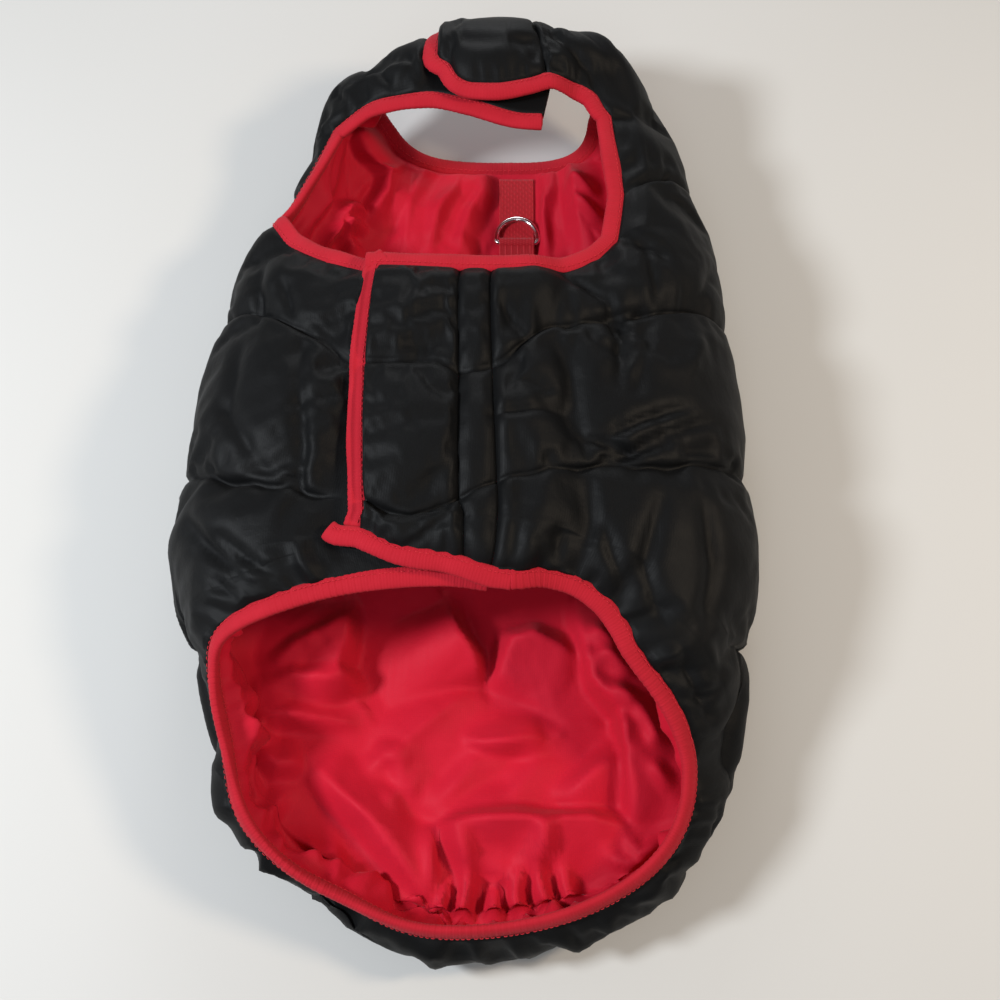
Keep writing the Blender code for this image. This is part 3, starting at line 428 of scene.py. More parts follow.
def form_point(s, u):
    """The form's point at s and u, which may be arrays."""
    s, u = np.broadcast_arrays(np.asarray(s, float), np.asarray(u, float))
    row = np.clip(s, 0, 1) * (FORM.shape[0] - 1)
    column = (u + 1) % 2 / 2 * (FORM.shape[1] - 1)
    i = np.clip(np.floor(row).astype(int), 0, FORM.shape[0] - 2)
    j = np.clip(np.floor(column).astype(int), 0, FORM.shape[1] - 2)
    a, b = (row - i)[..., None], (column - j)[..., None]
    near = FORM[i, j] * (1 - b) + FORM[i, j + 1] * b
    far = FORM[i + 1, j] * (1 - b) + FORM[i + 1, j + 1] * b
    return near * (1 - a) + far * a


def form_normal(s, u, reach=0.012):
    """The way out of the form at s and u, taken over reach on each side."""
    along = form_point(np.minimum(s + reach, 1), u) - form_point(np.maximum(s - reach, 0), u)
    around = form_point(s, u + reach) - form_point(s, u - reach)
    return unit(np.cross(along, around))


def at_line(line, u):
    """A line of (place, value) pairs, read at u on a smooth curve."""
    u = np.asarray(u, float)
    return smooth_columns(u.ravel(), np.array(line)).reshape(u.shape)


# ---------------------------------------------------------------- the lattice of the pattern

U_STEPS = np.linspace(-1.2, 1.2, 481)


def knot_tables():
    """s of every knot row at U_STEPS, and how deep each is drawn in, 0 where it isn't a quilting line."""
    s = np.linspace(0, 1, 101)
    drop = QUILT_DROP * ease(np.abs(U_STEPS), 0.58, 0.85)
    y = np.maximum.accumulate(form_point(s, U_STEPS[:, None])[..., 1], axis=1) + (drop + CENTRE[1])[:, None]
    rows = {"hem": at_line(HEM_LINE, U_STEPS), "leg": at_line(LEG_LINE, U_STEPS),
            "strap": at_line(STRAP_LINE, U_STEPS), "neck": np.ones_like(U_STEPS)}
    depths = {name: np.zeros_like(U_STEPS) for name in rows}
    for name, level in QUILT_Y.items():
        bent = y - at_line(QUILT_BEND.get(name, [(-1.2, 0), (1.2, 0)]), U_STEPS)[:, None]
        found = np.array([np.interp(level, row, s) if row[0] < level else 0.0 for row in bent])
        least = LEAST_S.get(name, 0)
        rows[name] = np.maximum(found, least)
        depths[name] = ease(found, least - 0.01, least + 0.09)
    table = np.stack([rows[name] for name in KNOT_ROWS], axis=1)
    for k in range(1, 4):
        table[:, k] = np.maximum(table[:, k], table[:, 0] + LEAST_ROW_STEP * k)
    return table, np.stack([depths[name] for name in KNOT_ROWS], axis=1)


KNOT_S, KNOT_DEPTH = knot_tables()


def at_u(table, u):
    """Rows of a table that is given at U_STEPS, at any u."""
    at = np.clip((np.asarray(u, float) - U_STEPS[0]) / (U_STEPS[1] - U_STEPS[0]), 0, len(U_STEPS) - 1.001)
    k = at.astype(int)
    t = (at - k)[..., None]
    return table[k] * (1 - t) + table[k + 1] * t


def column_u(name, q):
    """u of a named column at knot row q."""
    return np.interp(q, range(len(KNOT_ROWS)), BODY_U[name])


def place(q, j):
    """(s, u) of knot row q, a fraction between rows, and column j."""
    q, j = np.broadcast_arrays(np.asarray(q, float), np.asarray(j, float))
    knots = np.array(list(COLUMN.values()))
    at = np.stack([column_u(name, q) for name in BODY_U], axis=-1)
    k = np.clip(np.searchsorted(knots, j, side="right") - 1, 0, len(knots) - 2)
    t = (j - knots[k]) / (knots[k + 1] - knots[k])
    low, high = pair(at, k)
    u = low + (high - low) * t
    return s_of(q, u), u


def s_of(q, u):
    """s of knot row q at u."""
    k = np.clip(np.floor(q).astype(int), 0, len(KNOT_ROWS) - 2)
    low, high = pair(at_u(KNOT_S, u), k)
    return low + (high - low) * (q - k)


class Patch:
    """A panel as arrays over a rectangle of the lattice. bands are (first row, last row, first column, last
    column), cells says which squares belong, and sides moves a seam column by half a gap."""

    def __init__(self, bands, finer, sides):
        low, high = np.min(bands, axis=0), np.max(bands, axis=0)
        rows = np.arange(low[0] * finer, high[1] * finer + 1) / finer
        columns = np.arange(low[2] * finer, high[3] * finer + 1) / finer
        self.row, self.column = np.meshgrid(rows, columns, indexing="ij")
        self.cells = np.zeros((len(rows) - 1, len(columns) - 1), bool)
        for first, last, left, right in bands:
            r = slice((first - low[0]) * finer, (last - low[0]) * finer)
            c = slice((left - low[2]) * finer, (right - low[2]) * finer)
            self.cells[r, c] = True
        self.q = np.interp(self.row, ROW_AT, range(len(ROW_AT)))
        self.u = place(self.q, self.column)[1]
        for column, side in sides.items():
            self.u = self.u + (self.column == column) * side * SEAM_HALF_GAP / HALF_GIRTH
        self.s = s_of(self.q, self.u)
        self.point, self.normal = form_point(self.s, self.u), form_normal(self.s, self.u)
        self.plan = self.point[..., :2]
        self.flat = np.stack([self.u * HALF_GIRTH, self.s * BACK_LENGTH], axis=-1)
        self.used, self.edge = self.corners()
        self.inset = self.from_edge(CELL / finer)

    def corners(self):
        """Which points belong to a cell, and which of them also touch a square that doesn't."""
        padded = np.pad(self.cells, 1)
        around = [padded[:-1, :-1], padded[:-1, 1:], padded[1:, :-1], padded[1:, 1:]]
        count = np.sum(around, axis=0)
        return count > 0, (count > 0) & (count < 4)

    def from_edge(self, step):
        """Roughly how far each point lies in from the patch's edge, in steps of a cell."""
        found = np.where(self.edge | ~self.used, 0.0, FAR_IN)
        for _ in range(int(FAR_IN / step)):
            wide = np.pad(found, 1, constant_values=FAR_IN)
            beside = [wide[:-2, 1:-1], wide[2:, 1:-1], wide[1:-1, :-2], wide[1:-1, 2:]]
            found = np.minimum(found, np.minimum.reduce(beside) + step)
        return found


# ---------------------------------------------------------------- heights over the form

def base_height(s, u):
    """How far a piece is held off the form by what it closes over."""
    on_belly = LIFT * ease(u, *OVER_BELLY)
    on_strap = LIFT * ease(u, *OVER_CHEST)
    return on_belly + (on_strap - on_belly) * ease(s, 0.74, 0.86)


def under_flap(u):
    """1 on the lap that the belly flap and the tab close over."""
    return ease(-u, *LAP)


def quilted(s, u):
    """0 on a quilting line, 1 at the top of a puff."""
    seams = [k for k, name in enumerate(KNOT_ROWS) if name not in ("leg", "strap")]
    lines, depths = at_u(KNOT_S, u)[..., seams], at_u(KNOT_DEPTH, u)[..., seams]
    k = np.clip((s[..., None] >= lines).sum(-1) - 1, 0, len(seams) - 2)
    (low, high), (before, after) = pair(lines, k), pair(depths, k)
    t = np.clip((s - low) / (high - low), 0, 1)
    return 1 - np.where(t < 0.5, before, after) * (1 - np.abs(np.sin(math.pi * t)) ** PUFF_ROUNDNESS)


def edge_nearness(p):
    """0 at a patch's bound edges, 1 away from them."""
    rows, s, u, q = at_u(KNOT_S, p.u), p.s, p.u, p.q
    found = ease(s - rows[..., HEM], 0, 0.045) * ease(1 - s, 0, 0.035)
    beside = ease(u - column_u("leg_left", q), 0, 0.06) * ease(column_u("leg_right", q) - u, 0, 0.06)
    found = found * np.where((q >= LEG) & (q <= STRAP), beside, 1)
    over_belly = np.where(u < 0, ease(-u, 0.45, 0.55), ease(u, 0.68, 0.78))
    found = found * np.where(q <= LEG, 1 - over_belly * (1 - ease(rows[..., LEG] - s, 0, 0.045)), 1)
    over_chest = np.where(u < 0, ease(-u, 0.55, 0.65), ease(u, 0.66, 0.76))
    return found * np.where(q >= STRAP, 1 - over_chest * (1 - ease(s - rows[..., STRAP], 0, 0.025)), 1)


def seam_groove(p):
    """How far the shell dips into the seams beside the strip and the tab."""
    dip = 0.0
    seams = (("strip_right", HEM, LEG), ("strip_left", HEM, LEG), ("strip_right", STRAP, NECK))
    for name, first, last in seams:
        away = (p.u - column_u(name, p.q)) * HALF_GIRTH
        within = (p.q >= first) & (p.q <= last)
        dip = np.maximum(dip, within * bell(away, SEAM_GROOVE_WIDTH, 1.4))
    return SEAM_GROOVE * dip


def shell_height(p):
    """How far the shell's outer face stands off the form."""
    full = SHELL_AT_SEAM + SHELL_PUFF * quilted(p.s, p.u) * edge_nearness(p) ** 0.6
    full = full + (SHELL_UNDER_FLAP - full) * under_flap(p.u)
    return base_height(p.s, p.u) + full - seam_groove(p)


def from_line(at, line):
    """How far points are from a line, whether to its left (1) or right (-1), and how it fades to its ends."""
    line = np.array(line, float)
    runs = np.linalg.norm(np.diff(line, axis=0), axis=1)
    starts = np.concatenate([[0], np.cumsum(runs)])
    nearest = np.full(at.shape[:-1], 1e9)
    side, away_from, along = np.ones(nearest.shape), [], []
    for k, run in enumerate(runs):
        way = (line[k + 1] - line[k]) / run
        off = at - line[k]
        t = np.clip(off @ way, 0, run)
        away = np.linalg.norm(off - t[..., None] * way, axis=-1)
        closer = away < nearest
        nearest = np.where(closer, away, nearest)
        side = np.where(closer, np.sign(way[0] * off[..., 1] - way[1] * off[..., 0]), side)
        away_from.append(away)
        along.append(starts[k] + t)
    share = np.exp((nearest - np.array(away_from)) / BEND_BLEND)
    part = (share * along).sum(axis=0) / share.sum(axis=0) / starts[-1]
    return nearest, side, np.sin(math.pi * np.clip(0.02 + 0.96 * part, 0, 1)) ** 0.6


def crease_field(at, creases):
    """Creases of padding: sharp along each line, with a swollen shoulder on both sides."""
    total = np.zeros(at.shape[:-1])
    for height, width, line in creases:
        nearest, _, ends = from_line(at, line)
        sharp = np.exp(-np.sqrt((nearest / width) ** 2 + 0.10) + 0.316)
        total += 1.8 * height * ends * (1.2 * sharp - 0.6 * bell(nearest, 2.6 * width))
    return total


def fold_field(at, folds):
    """Folds of thin cloth: flat slopes up to a sharp ridge, each side as wide as its row says. Large folds
    meet as facets, and small ones lie on them."""
    facets, small = np.zeros(at.shape[:-1]), np.zeros(at.shape[:-1])
    for height, left, right, line in folds:
        nearest, side, ends = from_line(at, line)
        slope = np.clip(1 - np.sqrt(nearest ** 2 + 0.5) / np.where(side > 0, left, right), 0, 1)
        rise = FOLD_HEIGHT * height * ends * slope
        if height < LARGE_FOLD:
            small += rise
        else:
            both = np.minimum(np.minimum(facets, rise), SOFT_MEETING) + 1e-6
            rounded = np.clip(both - np.abs(facets - rise), 0, None) ** 2 / (4 * both)
            facets = np.maximum(facets, rise) + rounded
    return facets + small


def puckers(p):
    """Small gathers that the stitching draws up across every quilting line."""
    lines, depths = at_u(KNOT_S, p.u), at_u(KNOT_DEPTH, p.u)
    x = p.flat[..., 0]
    total = np.zeros(x.shape)
    for k in range(1, NECK):
        rng = np.random.default_rng(PUCKER_SEED + k)
        at = np.cumsum(rng.uniform(*PUCKER_SPACING, PUCKERS)) - 600.0
        size = rng.uniform(-1.0, 0.55, PUCKERS)
        away = (p.s - lines[..., k]) * BACK_LENGTH
        row = np.interp(x + 0.25 * away, at, size)
        total += depths[..., k] * row * bell(away, PUCKER_REACH, 1.3)
    return PUCKER_HEIGHT * total


def stray_creases():
    """Short creases down the sides and under the coat, in flat cloth's mm."""
    rng = np.random.default_rng(STRAY_SEED)
    found = []
    for _ in range(STRAY_CREASES):
        side = rng.choice([-1.0, 1.0])
        start = np.array([side * rng.uniform(0.16, 0.56) * HALF_GIRTH, rng.uniform(0.08, 0.9) * BACK_LENGTH])
        turn, length = rng.uniform(-0.9, 0.9), rng.uniform(22, 62)
        way = np.array([side * math.cos(turn), math.sin(turn)]) * length
        bend = np.array([-way[1], way[0]]) * rng.uniform(-0.18, 0.18)
        line = [tuple(start), tuple(start + way / 2 + bend), tuple(start + way)]
        found.append((rng.uniform(-3.2, -1.6), rng.uniform(3.0, 5.0), line))
    return found


def hem_gathers(p, seed, height):
    """Uneven ridges that run in from the drawn-up hem."""
    rng = np.random.default_rng(seed)
    middle = np.sort(rng.uniform(-0.99, 0.9, HEM_GATHERS)) * HALF_GIRTH
    drawn = 1 - ease(p.u, *HEM_DRAWN_TO)
    x, y = p.flat[..., 0], p.flat[..., 1] - at_u(KNOT_S, p.u)[..., HEM] * BACK_LENGTH
    total = np.zeros(x.shape)
    for centre in middle:
        width, reach = rng.uniform(*HEM_GATHER_WIDTH), rng.uniform(*HEM_GATHER_REACH)
        size, lean = rng.uniform(0.5, 1.0), rng.uniform(-0.3, 0.3)
        total += size * bell(x - centre - lean * y, width, 1.5) * bell(y, reach)
    return height * drawn * (total - 0.5 * bell(y, 30.0))


def soft_waves(at, seed, height, length=60.0):
    """Broad, uneven swelling of loose cloth."""
    rng = np.random.default_rng(seed)
    total = np.zeros(at.shape[:-1])
    for _ in range(14):
        angle, phase = rng.uniform(0, 2 * math.pi, 2)
        pitch = length * rng.uniform(0.5, 1.6)
        total += np.sin(2 * math.pi * (at @ [math.cos(angle), math.sin(angle)]) / pitch + phase)
    return height * total / 5.0


def clear_of_webbing(point):
    """0 where the webbing is sewn on, 1 away from it."""
    near, far, over_back = 1.0, 10.0, 60.0
    beside = ease(np.abs(point[..., 0] - WEBBING_X), WEBBING_WIDTH / 2 + near, WEBBING_WIDTH / 2 + far)
    past_end = np.maximum(WEBBING_TO_Y - point[..., 1], point[..., 1] - WEBBING_FROM_Y)
    return np.maximum(np.maximum(beside, ease(past_end, near, far)), point[..., 2] > over_back)


# ---------------------------------------------------------------- cloth pieces before simulation

STRAYS = stray_creases()


def shell_start(p):
    """The shell's outer face before the simulation."""
    waves = soft_waves(p.flat, 3, 0.9) * edge_nearness(p) * (1 - under_flap(p.u))
    return p.point + p.normal * (shell_height(p) + waves)[..., None]


def shell_detail(p):
    """Creases and gathers, added after the simulation."""
    seen = ease(np.abs(p.u), *SHELL_SEEN)
    free = (1 - under_flap(p.u)) * edge_nearness(p) ** 0.35
    marks = crease_field(p.plan, SHELL_CREASES) * seen + crease_field(p.flat, STRAYS) * (1 - seen)
    gathers = hem_gathers(p, HEM_GATHER_SEED, SHELL_GATHERS) * ease(p.inset, 1, 6)
    gathers += puckers(p) * ease(p.inset, 0, 6)
    return p.normal * (marks * free + gathers * (1 - under_flap(p.u)))[..., None]


def lining_slack(p):
    """0 where the lining is sewn down, 1 where it hangs loose of the shell."""
    sides = 1 - 0.75 * ease(np.abs(p.u), 0.62, 0.80)
    return sides * ease(p.inset, 0.0, 14.0) * clear_of_webbing(p.point)


def lining_start(p):
    """The lining before the simulation."""
    depth = LINING_DEPTH + LINING_BILLOW * lining_slack(p) - base_height(p.s, p.u)
    return p.point - p.normal * depth[..., None]


def lining_detail(p):
    """Listed folds where the lining shows, and gathers along the drawn-up hem."""
    near = ease(p.inset, 0.0, 14.0) * clear_of_webbing(p.point)
    hidden = ease(np.abs(p.u), *LINING_HIDDEN)
    folds = fold_field(p.plan, LINING_FOLDS) * (1 - hidden) * near
    folds += crease_field(p.flat, STRAYS) * hidden * near
    gathers = np.maximum(hem_gathers(p, HEM_GATHER_SEED + 1, LINING_GATHERS), -1.0) * ease(p.inset, 0.0, 5.0)
    return -p.normal * (folds + soft_waves(p.flat, 5, 1.0, 46.0) * lining_slack(p) + gathers)[..., None]


# ---------------------------------------------------------------- cloth simulation

def add_object(name, data):
    """An object that is in the scene."""
    thing = bpy.data.objects.new(name, data)
    bpy.context.scene.collection.objects.link(thing)
    return thing


def vertices_of(mesh):
    """A mesh's points, in metres."""
    found = np.empty(len(mesh.vertices) * 3, np.float32)
    mesh.vertices.foreach_get("co", found)
    return found.reshape(-1, 3)


def numbered(marked):
    """The vertex number of each marked point of a grid."""
    return np.cumsum(marked.ravel()).reshape(marked.shape) - 1


def sheet_faces(cells, number):
    """A quad for each cell, from the vertex numbers of the grid's points."""
    i, j = np.nonzero(cells)
    return np.stack([number[i, j], number[i + 1, j], number[i + 1, j + 1], number[i, j + 1]], axis=1).tolist()


def add_cloth(name, p, points, sewn, growth, pressure):
    """A sheet of cloth over a patch's cells. It grows by growth of its size, and pressure pushes it out."""
    mesh = bpy.data.meshes.new(name)
    mesh.from_pydata((points[p.used] * MM).tolist(), [], sheet_faces(p.cells, numbered(p.used)))
    thing = add_object(name, mesh)
    group = thing.vertex_groups.new(name="sewn")
    group.add(np.nonzero(sewn[p.used])[0].tolist(), 1.0, "REPLACE")
    cloth = thing.modifiers.new("cloth", "CLOTH")
    cloth.point_cache.frame_start, cloth.point_cache.frame_end = 1, CLOTH_FRAMES
    cloth.collision_settings.use_collision = False
    settings = cloth.settings
    for key, value in CLOTH.items():
        setattr(settings, key, value)
    settings.vertex_group_mass = group.name
    settings.shrink_min = -growth
    settings.use_pressure = True
    settings.uniform_pressure_force = pressure
    settings.effector_weights.gravity = 0.0
    return thing


def blow_up(sheets):
    """Runs the cloth of every sheet together, and keeps how far each point moved."""
    things = [add_cloth(sheet.name + "_cloth", sheet.coarse, sheet.start(sheet.coarse), sheet.sewn(),
                        sheet.growth, sheet.pressure) for sheet in sheets]
    scene = bpy.context.scene
    for frame_number in range(1, CLOTH_FRAMES + 1):
        scene.frame_set(frame_number)
    graph = bpy.context.evaluated_depsgraph_get()
    for sheet, thing in zip(sheets, things):
        sheet.keep_move(vertices_of(thing.evaluated_get(graph).to_mesh()) / MM)
    for thing in things:
        bpy.data.objects.remove(thing, do_unlink=True)
    scene.frame_set(1)


def midpoints(values):
    """Twice as many rows, with cubic values halfway between the old ones."""
    ends = np.concatenate([values[:1], values, values[-1:]])
    between = (9 * (ends[1:-2] + ends[2:-1]) - (ends[:-3] + ends[3:])) / 16
    found = np.empty((2 * len(values) - 1,) + values.shape[1:])
    found[::2], found[1::2] = values, between
    return found


class Sheet:
    """A cloth piece: its patch coarse and fine, where it starts, and how simulation moves it."""

    def __init__(self, name, bands, start, detail, growth, pressure, limits, sides=None):
        self.name, self.start, self.detail = name, start, detail
        self.growth, self.pressure, self.limits = growth, pressure, limits
        self.coarse, self.fine = Patch(bands, 1, sides or {}), Patch(bands, FINER, sides or {})
        self.move = np.zeros(self.coarse.point.shape)

    def sewn(self):
        """Points held still: edges, quilting lines that draw in, and what lies under the webbing."""
        p = self.coarse
        depth = at_u(KNOT_DEPTH, p.u)
        lines = np.zeros(p.used.shape, bool)
        if self.pressure > 0:
            for k in range(1, NECK):
                lines |= (p.row == ROW_AT[k]) & (depth[..., k] > 0.25)
            return p.edge | lines | (under_flap(p.u) > 0.5)
        return p.edge | (clear_of_webbing(p.point) < 0.5)

    def keep_move(self, found):
        """Cuts the move off at how far out, in and sideways this cloth may go."""
        p = self.coarse
        low, high, sideways = self.limits
        move = found - self.start(p)[p.used]
        normal = p.normal[p.used]
        out = (move * normal).sum(1, keepdims=True)
        across = move - out * normal
        length = np.maximum(np.linalg.norm(across, axis=1, keepdims=True), 1e-9)
        self.move[p.used] = np.clip(out, low, high) * normal + across * np.minimum(1, sideways / length)
        close = 1 - ease(np.linalg.norm(np.diff(p.point, axis=0), axis=-1), *CLOSE_ROWS)[..., None]
        for _ in range(EVENED):
            share = np.diff(self.move, axis=0) * close / 4
            self.move[:-1] += share
            self.move[1:] -= share

    def points(self):
        """Where it ends: start, move and detail, with pads kept thick and linings kept clear of them."""
        moved = midpoints(midpoints(self.move).swapaxes(0, 1)).swapaxes(0, 1)
        p = self.fine
        found = self.start(p) + moved + self.detail(p)
        out = ((found - p.point) * p.normal).sum(-1) - (base_height(p.s, p.u) + INNER_SINK)
        if self.pressure > 0:
            found = found + p.normal * np.maximum(LEAST_WALL - out, 0)[..., None]
            found[..., 2] = np.maximum(found[..., 2], 0.0)
            return found
        return found - p.normal * np.maximum(out + LINING_CLEAR, 0)[..., None]


# ---------------------------------------------------------------- meshes

def face_out(mesh):
    """Turns every face round if the closed mesh faces in."""
    mesh.calc_loop_triangles()
    corners = np.empty(len(mesh.loop_triangles) * 3, np.int32)
    mesh.loop_triangles.foreach_get("vertices", corners)
    if np.linalg.det(vertices_of(mesh)[corners.reshape(-1, 3)]).sum() < 0:
        mesh.flip_normals()


class Shape:
    """Points, faces and flat places that become one mesh, with a material for each batch."""

    def __init__(self):
        self.points, self.flat, self.faces, self.finish = [], [], [], []
        self.count = 0

    def add(self, points, faces, flat, finish=0):
        self.points.append(np.asarray(points, float).reshape(-1, 3))
        self.flat.append(np.asarray(flat, float).reshape(-1, 2))
        self.faces += [[self.count + k for k in face] for face in faces]
        self.finish += [finish] * len(faces)
        self.count += len(self.points[-1])

    def make(self, name, materials, turn=False):
        mesh = bpy.data.meshes.new(name)
        mesh.from_pydata((np.concatenate(self.points) * MM).tolist(), [], self.faces)
        for material in materials:
            mesh.materials.append(material)
        mesh.polygons.foreach_set("material_index", self.finish)
        corner = np.empty(len(mesh.loops), np.int32)
        mesh.loops.foreach_get("vertex_index", corner)
        flat = np.concatenate(self.flat)[corner] * MM
        mesh.uv_layers.new(name="cloth").data.foreach_set("uv", flat.ravel().astype(np.float32))
        mesh.polygons.foreach_set("use_smooth", np.ones(len(mesh.polygons), bool))
        mesh.validate()
        if turn:
            face_out(mesh)
        return add_object(name, mesh)


def add_open_sheet(sheet, material):
    """The sheet as one layer that faces into the coat."""
    p = sheet.fine
    shape = Shape()
    faces = [face[::-1] for face in sheet_faces(p.cells, numbered(p.used))]
    shape.add(sheet.points()[p.used], faces, p.flat[p.used])
    return shape.make(sheet.name, [material])


def add_padded_sheet(sheet, material):
    """A closed pad: the fine outer face, a rim, and an inner face of larger cells."""
    p = sheet.fine
    inner = p.point + p.normal * (base_height(p.s, p.u) + INNER_SINK)[..., None]
    inner[..., 2] = np.maximum(inner[..., 2], 0.5)
    rows, columns = np.indices(p.used.shape)
    kept = p.used & (p.edge | ((rows % INNER_ROWS == 0) & (columns % INNER_COLUMNS == 0)))
    out_number, in_number = numbered(p.used), p.used.sum() + numbered(kept)
    faces = sheet_faces(p.cells, out_number) + inner_faces(p.cells, in_number)
    faces += rim_faces(p.cells, out_number, in_number)
    shape = Shape()
    points = np.concatenate([sheet.points()[p.used], inner[kept]])
    shape.add(points, faces, np.concatenate([p.flat[p.used], p.flat[kept]]))
    return shape.make(sheet.name, [material])


def inner_faces(cells, number):
    """Large cells that face in, each with the small steps of any side that lies on the edge."""
    open_at = np.pad(cells, 1)
    found = []
    for i in range(0, cells.shape[0], INNER_ROWS):
        for j in range(0, cells.shape[1], INNER_COLUMNS):
            if not cells[i, j]:
                continue
            up, across = i + INNER_ROWS, j + INNER_COLUMNS
            step = [1 if not near else far for near, far in (
                (open_at[i, j + 1], INNER_COLUMNS), (open_at[i + 1, across + 1], INNER_ROWS),
                (open_at[up + 1, j + 1], INNER_COLUMNS), (open_at[i + 1, j], INNER_ROWS))]
            face = [number[i, c] for c in range(j, across, step[0])]
            face += [number[r, across] for r in range(i, up, step[1])]
            face += [number[up, c] for c in range(across, j, -step[2])]
            face += [number[r, j] for r in range(up, i, -step[3])]
            found.append(face)
    return found


def rim_faces(cells, out, inn):
    """Quads between the outer and the inner face along every open side of a cell."""
    open_at = np.pad(cells, 1)
    found = []
    for i, j in zip(*np.nonzero(cells)):
        corners = ((i, j), (i, j + 1), (i + 1, j + 1), (i + 1, j))
        beside = (open_at[i, j + 1], open_at[i + 1, j + 2], open_at[i + 2, j + 1], open_at[i + 1, j])
        for k in range(4):
            if not beside[k]:
                a, b = corners[k], corners[(k + 1) % 4]
                found.append([out[a], out[b], inn[b], inn[a]])
    return found


def bar_faces(stations, sides, closed=False):
    """Quads of a bar through stations of sides points each, with its two end faces unless it is closed."""
    k, m = np.indices((stations if closed else stations - 1, sides))
    n, after = (m + 1) % sides, (k + 1) % stations
    faces = np.stack([k * sides + m, k * sides + n, after * sides + n, after * sides + m], axis=-1)
    faces = faces.reshape(-1, 4).tolist()
    if not closed:
        faces.append(list(range(sides))[::-1])
        faces.append([(stations - 1) * sides + m for m in range(sides)])
    return faces


def add_stitches(shape, middles, along, up):
    """A short bowed thread at each middle, lying along the way given, in the shape's second material."""
    sides, steps = 5, np.array([-1.0, -0.8, -0.3, 0.3, 0.8, 1.0])
    thick = THREAD * np.array([0.25, 0.8, 1.0, 1.0, 0.8, 0.25])
    angle = np.linspace(0, 2 * math.pi, sides, endpoint=False)
    ahead = np.repeat(steps * STITCH / 2, sides)
    across = (thick[:, None] * np.cos(angle)).ravel()
    rise = (thick[:, None] * np.sin(angle) - (THREAD * 1.3 * steps ** 2)[:, None]).ravel()
    side = unit(np.cross(along, up))
    points = (middles[:, None] + along[:, None] * ahead[:, None] + side[:, None] * across[:, None]
              + up[:, None] * rise[:, None])
    one = bar_faces(len(steps), sides)
    faces = [[k * len(ahead) + corner for corner in face] for k in range(len(middles)) for face in one]
    flat = np.stack([np.tile(across, len(middles)), np.tile(ahead, len(middles))], axis=1)
    shape.add(points, faces, flat, finish=1)


# ---------------------------------------------------------------- bindings

def lattice_way(*stops):
    """(s, u) places along straight lattice lines through (knot row, column) stops."""
    places = []
    for (q0, j0), (q1, j1) in zip(stops, stops[1:]):
        size = max(abs(q1 - q0) * CELLS_A_KNOT, abs(j1 - j0))
        t = np.linspace(0, 1, max(3, int(size / WAY_STEP)))
        places.append(np.stack(place(q0 + (q1 - q0) * t, j0 + (j1 - j0) * t), axis=1))
    return np.concatenate([places[0]] + [part[1:] for part in places[1:]])


def moved(place_at, du=0.0, ds=0.0):
    """One more place, a little further on."""
    return np.array([[place_at[0] + ds, place_at[1] + du]])


def even_path(points, extras, step):
    """Lengths at even steps along a line, and its points and what else is given along it, read there."""
    length = lengths_along(points)
    even = np.linspace(0, length[-1], max(4, int(length[-1] / step)))
    return even, [resampled(values, length, even) for values in [points] + extras]


def add_binding(name, places, side, seed, materials, step=1.15, ribs=1.0, groove=0.0):
    """Tape folded over a panel's edge. side is 1 where the free edge lies right of the way, seen from
    outside, else -1. Ribs are the small gathers of tape sewn on under tension, and a groove runs along tape
    that has rolled over its edge."""
    s, u = places.T
    panel = form_point(s, u) + form_normal(s, u) * base_height(s, u)[:, None]
    wall = SHELL_AT_SEAM + (SHELL_UNDER_FLAP - SHELL_AT_SEAM) * under_flap(u)
    at, (points, normals, walls) = even_path(panel, [form_normal(s, u), wall[:, None]], step)
    points, normals = smoothed(points, 2), unit(smoothed(normals, 3))
    along = unit(smoothed(unit(np.gradient(points, axis=0)), 4))
    out = unit(np.cross(along, normals)) * side
    section = binding_section(at, walls[:, 0], seed, ribs, groove)
    surface = points[:, None] + out[:, None] * section[..., :1] + normals[:, None] * section[..., 1:]
    surface[..., 2] = np.maximum(surface[..., 2], 0.0)
    sides = section.shape[1]
    flat = np.stack(np.broadcast_arrays(at[:, None], np.linspace(0, 24, sides)[None]), axis=-1)
    shape = Shape()
    shape.add(surface, bar_faces(len(at), sides), flat)
    k = np.round(np.arange(4, at[-1] - 4, STITCH + STITCH_GAP) / (at[1] - at[0])).astype(int)
    outside, inside = walls[k, 0] + BINDING_COVER + 0.15, np.full(len(k), GAP + LINING + BINDING_COVER)
    for face, lift in ((1, outside), (-1, inside)):
        middle = points[k] + out[k] * BINDING_STITCH_IN + normals[k] * (face * lift)[:, None]
        middle[:, 2] = np.maximum(middle[:, 2], 0.4)
        add_stitches(shape, middle, along[k], normals[k] * face)
    return shape.make(name, materials, turn=True)


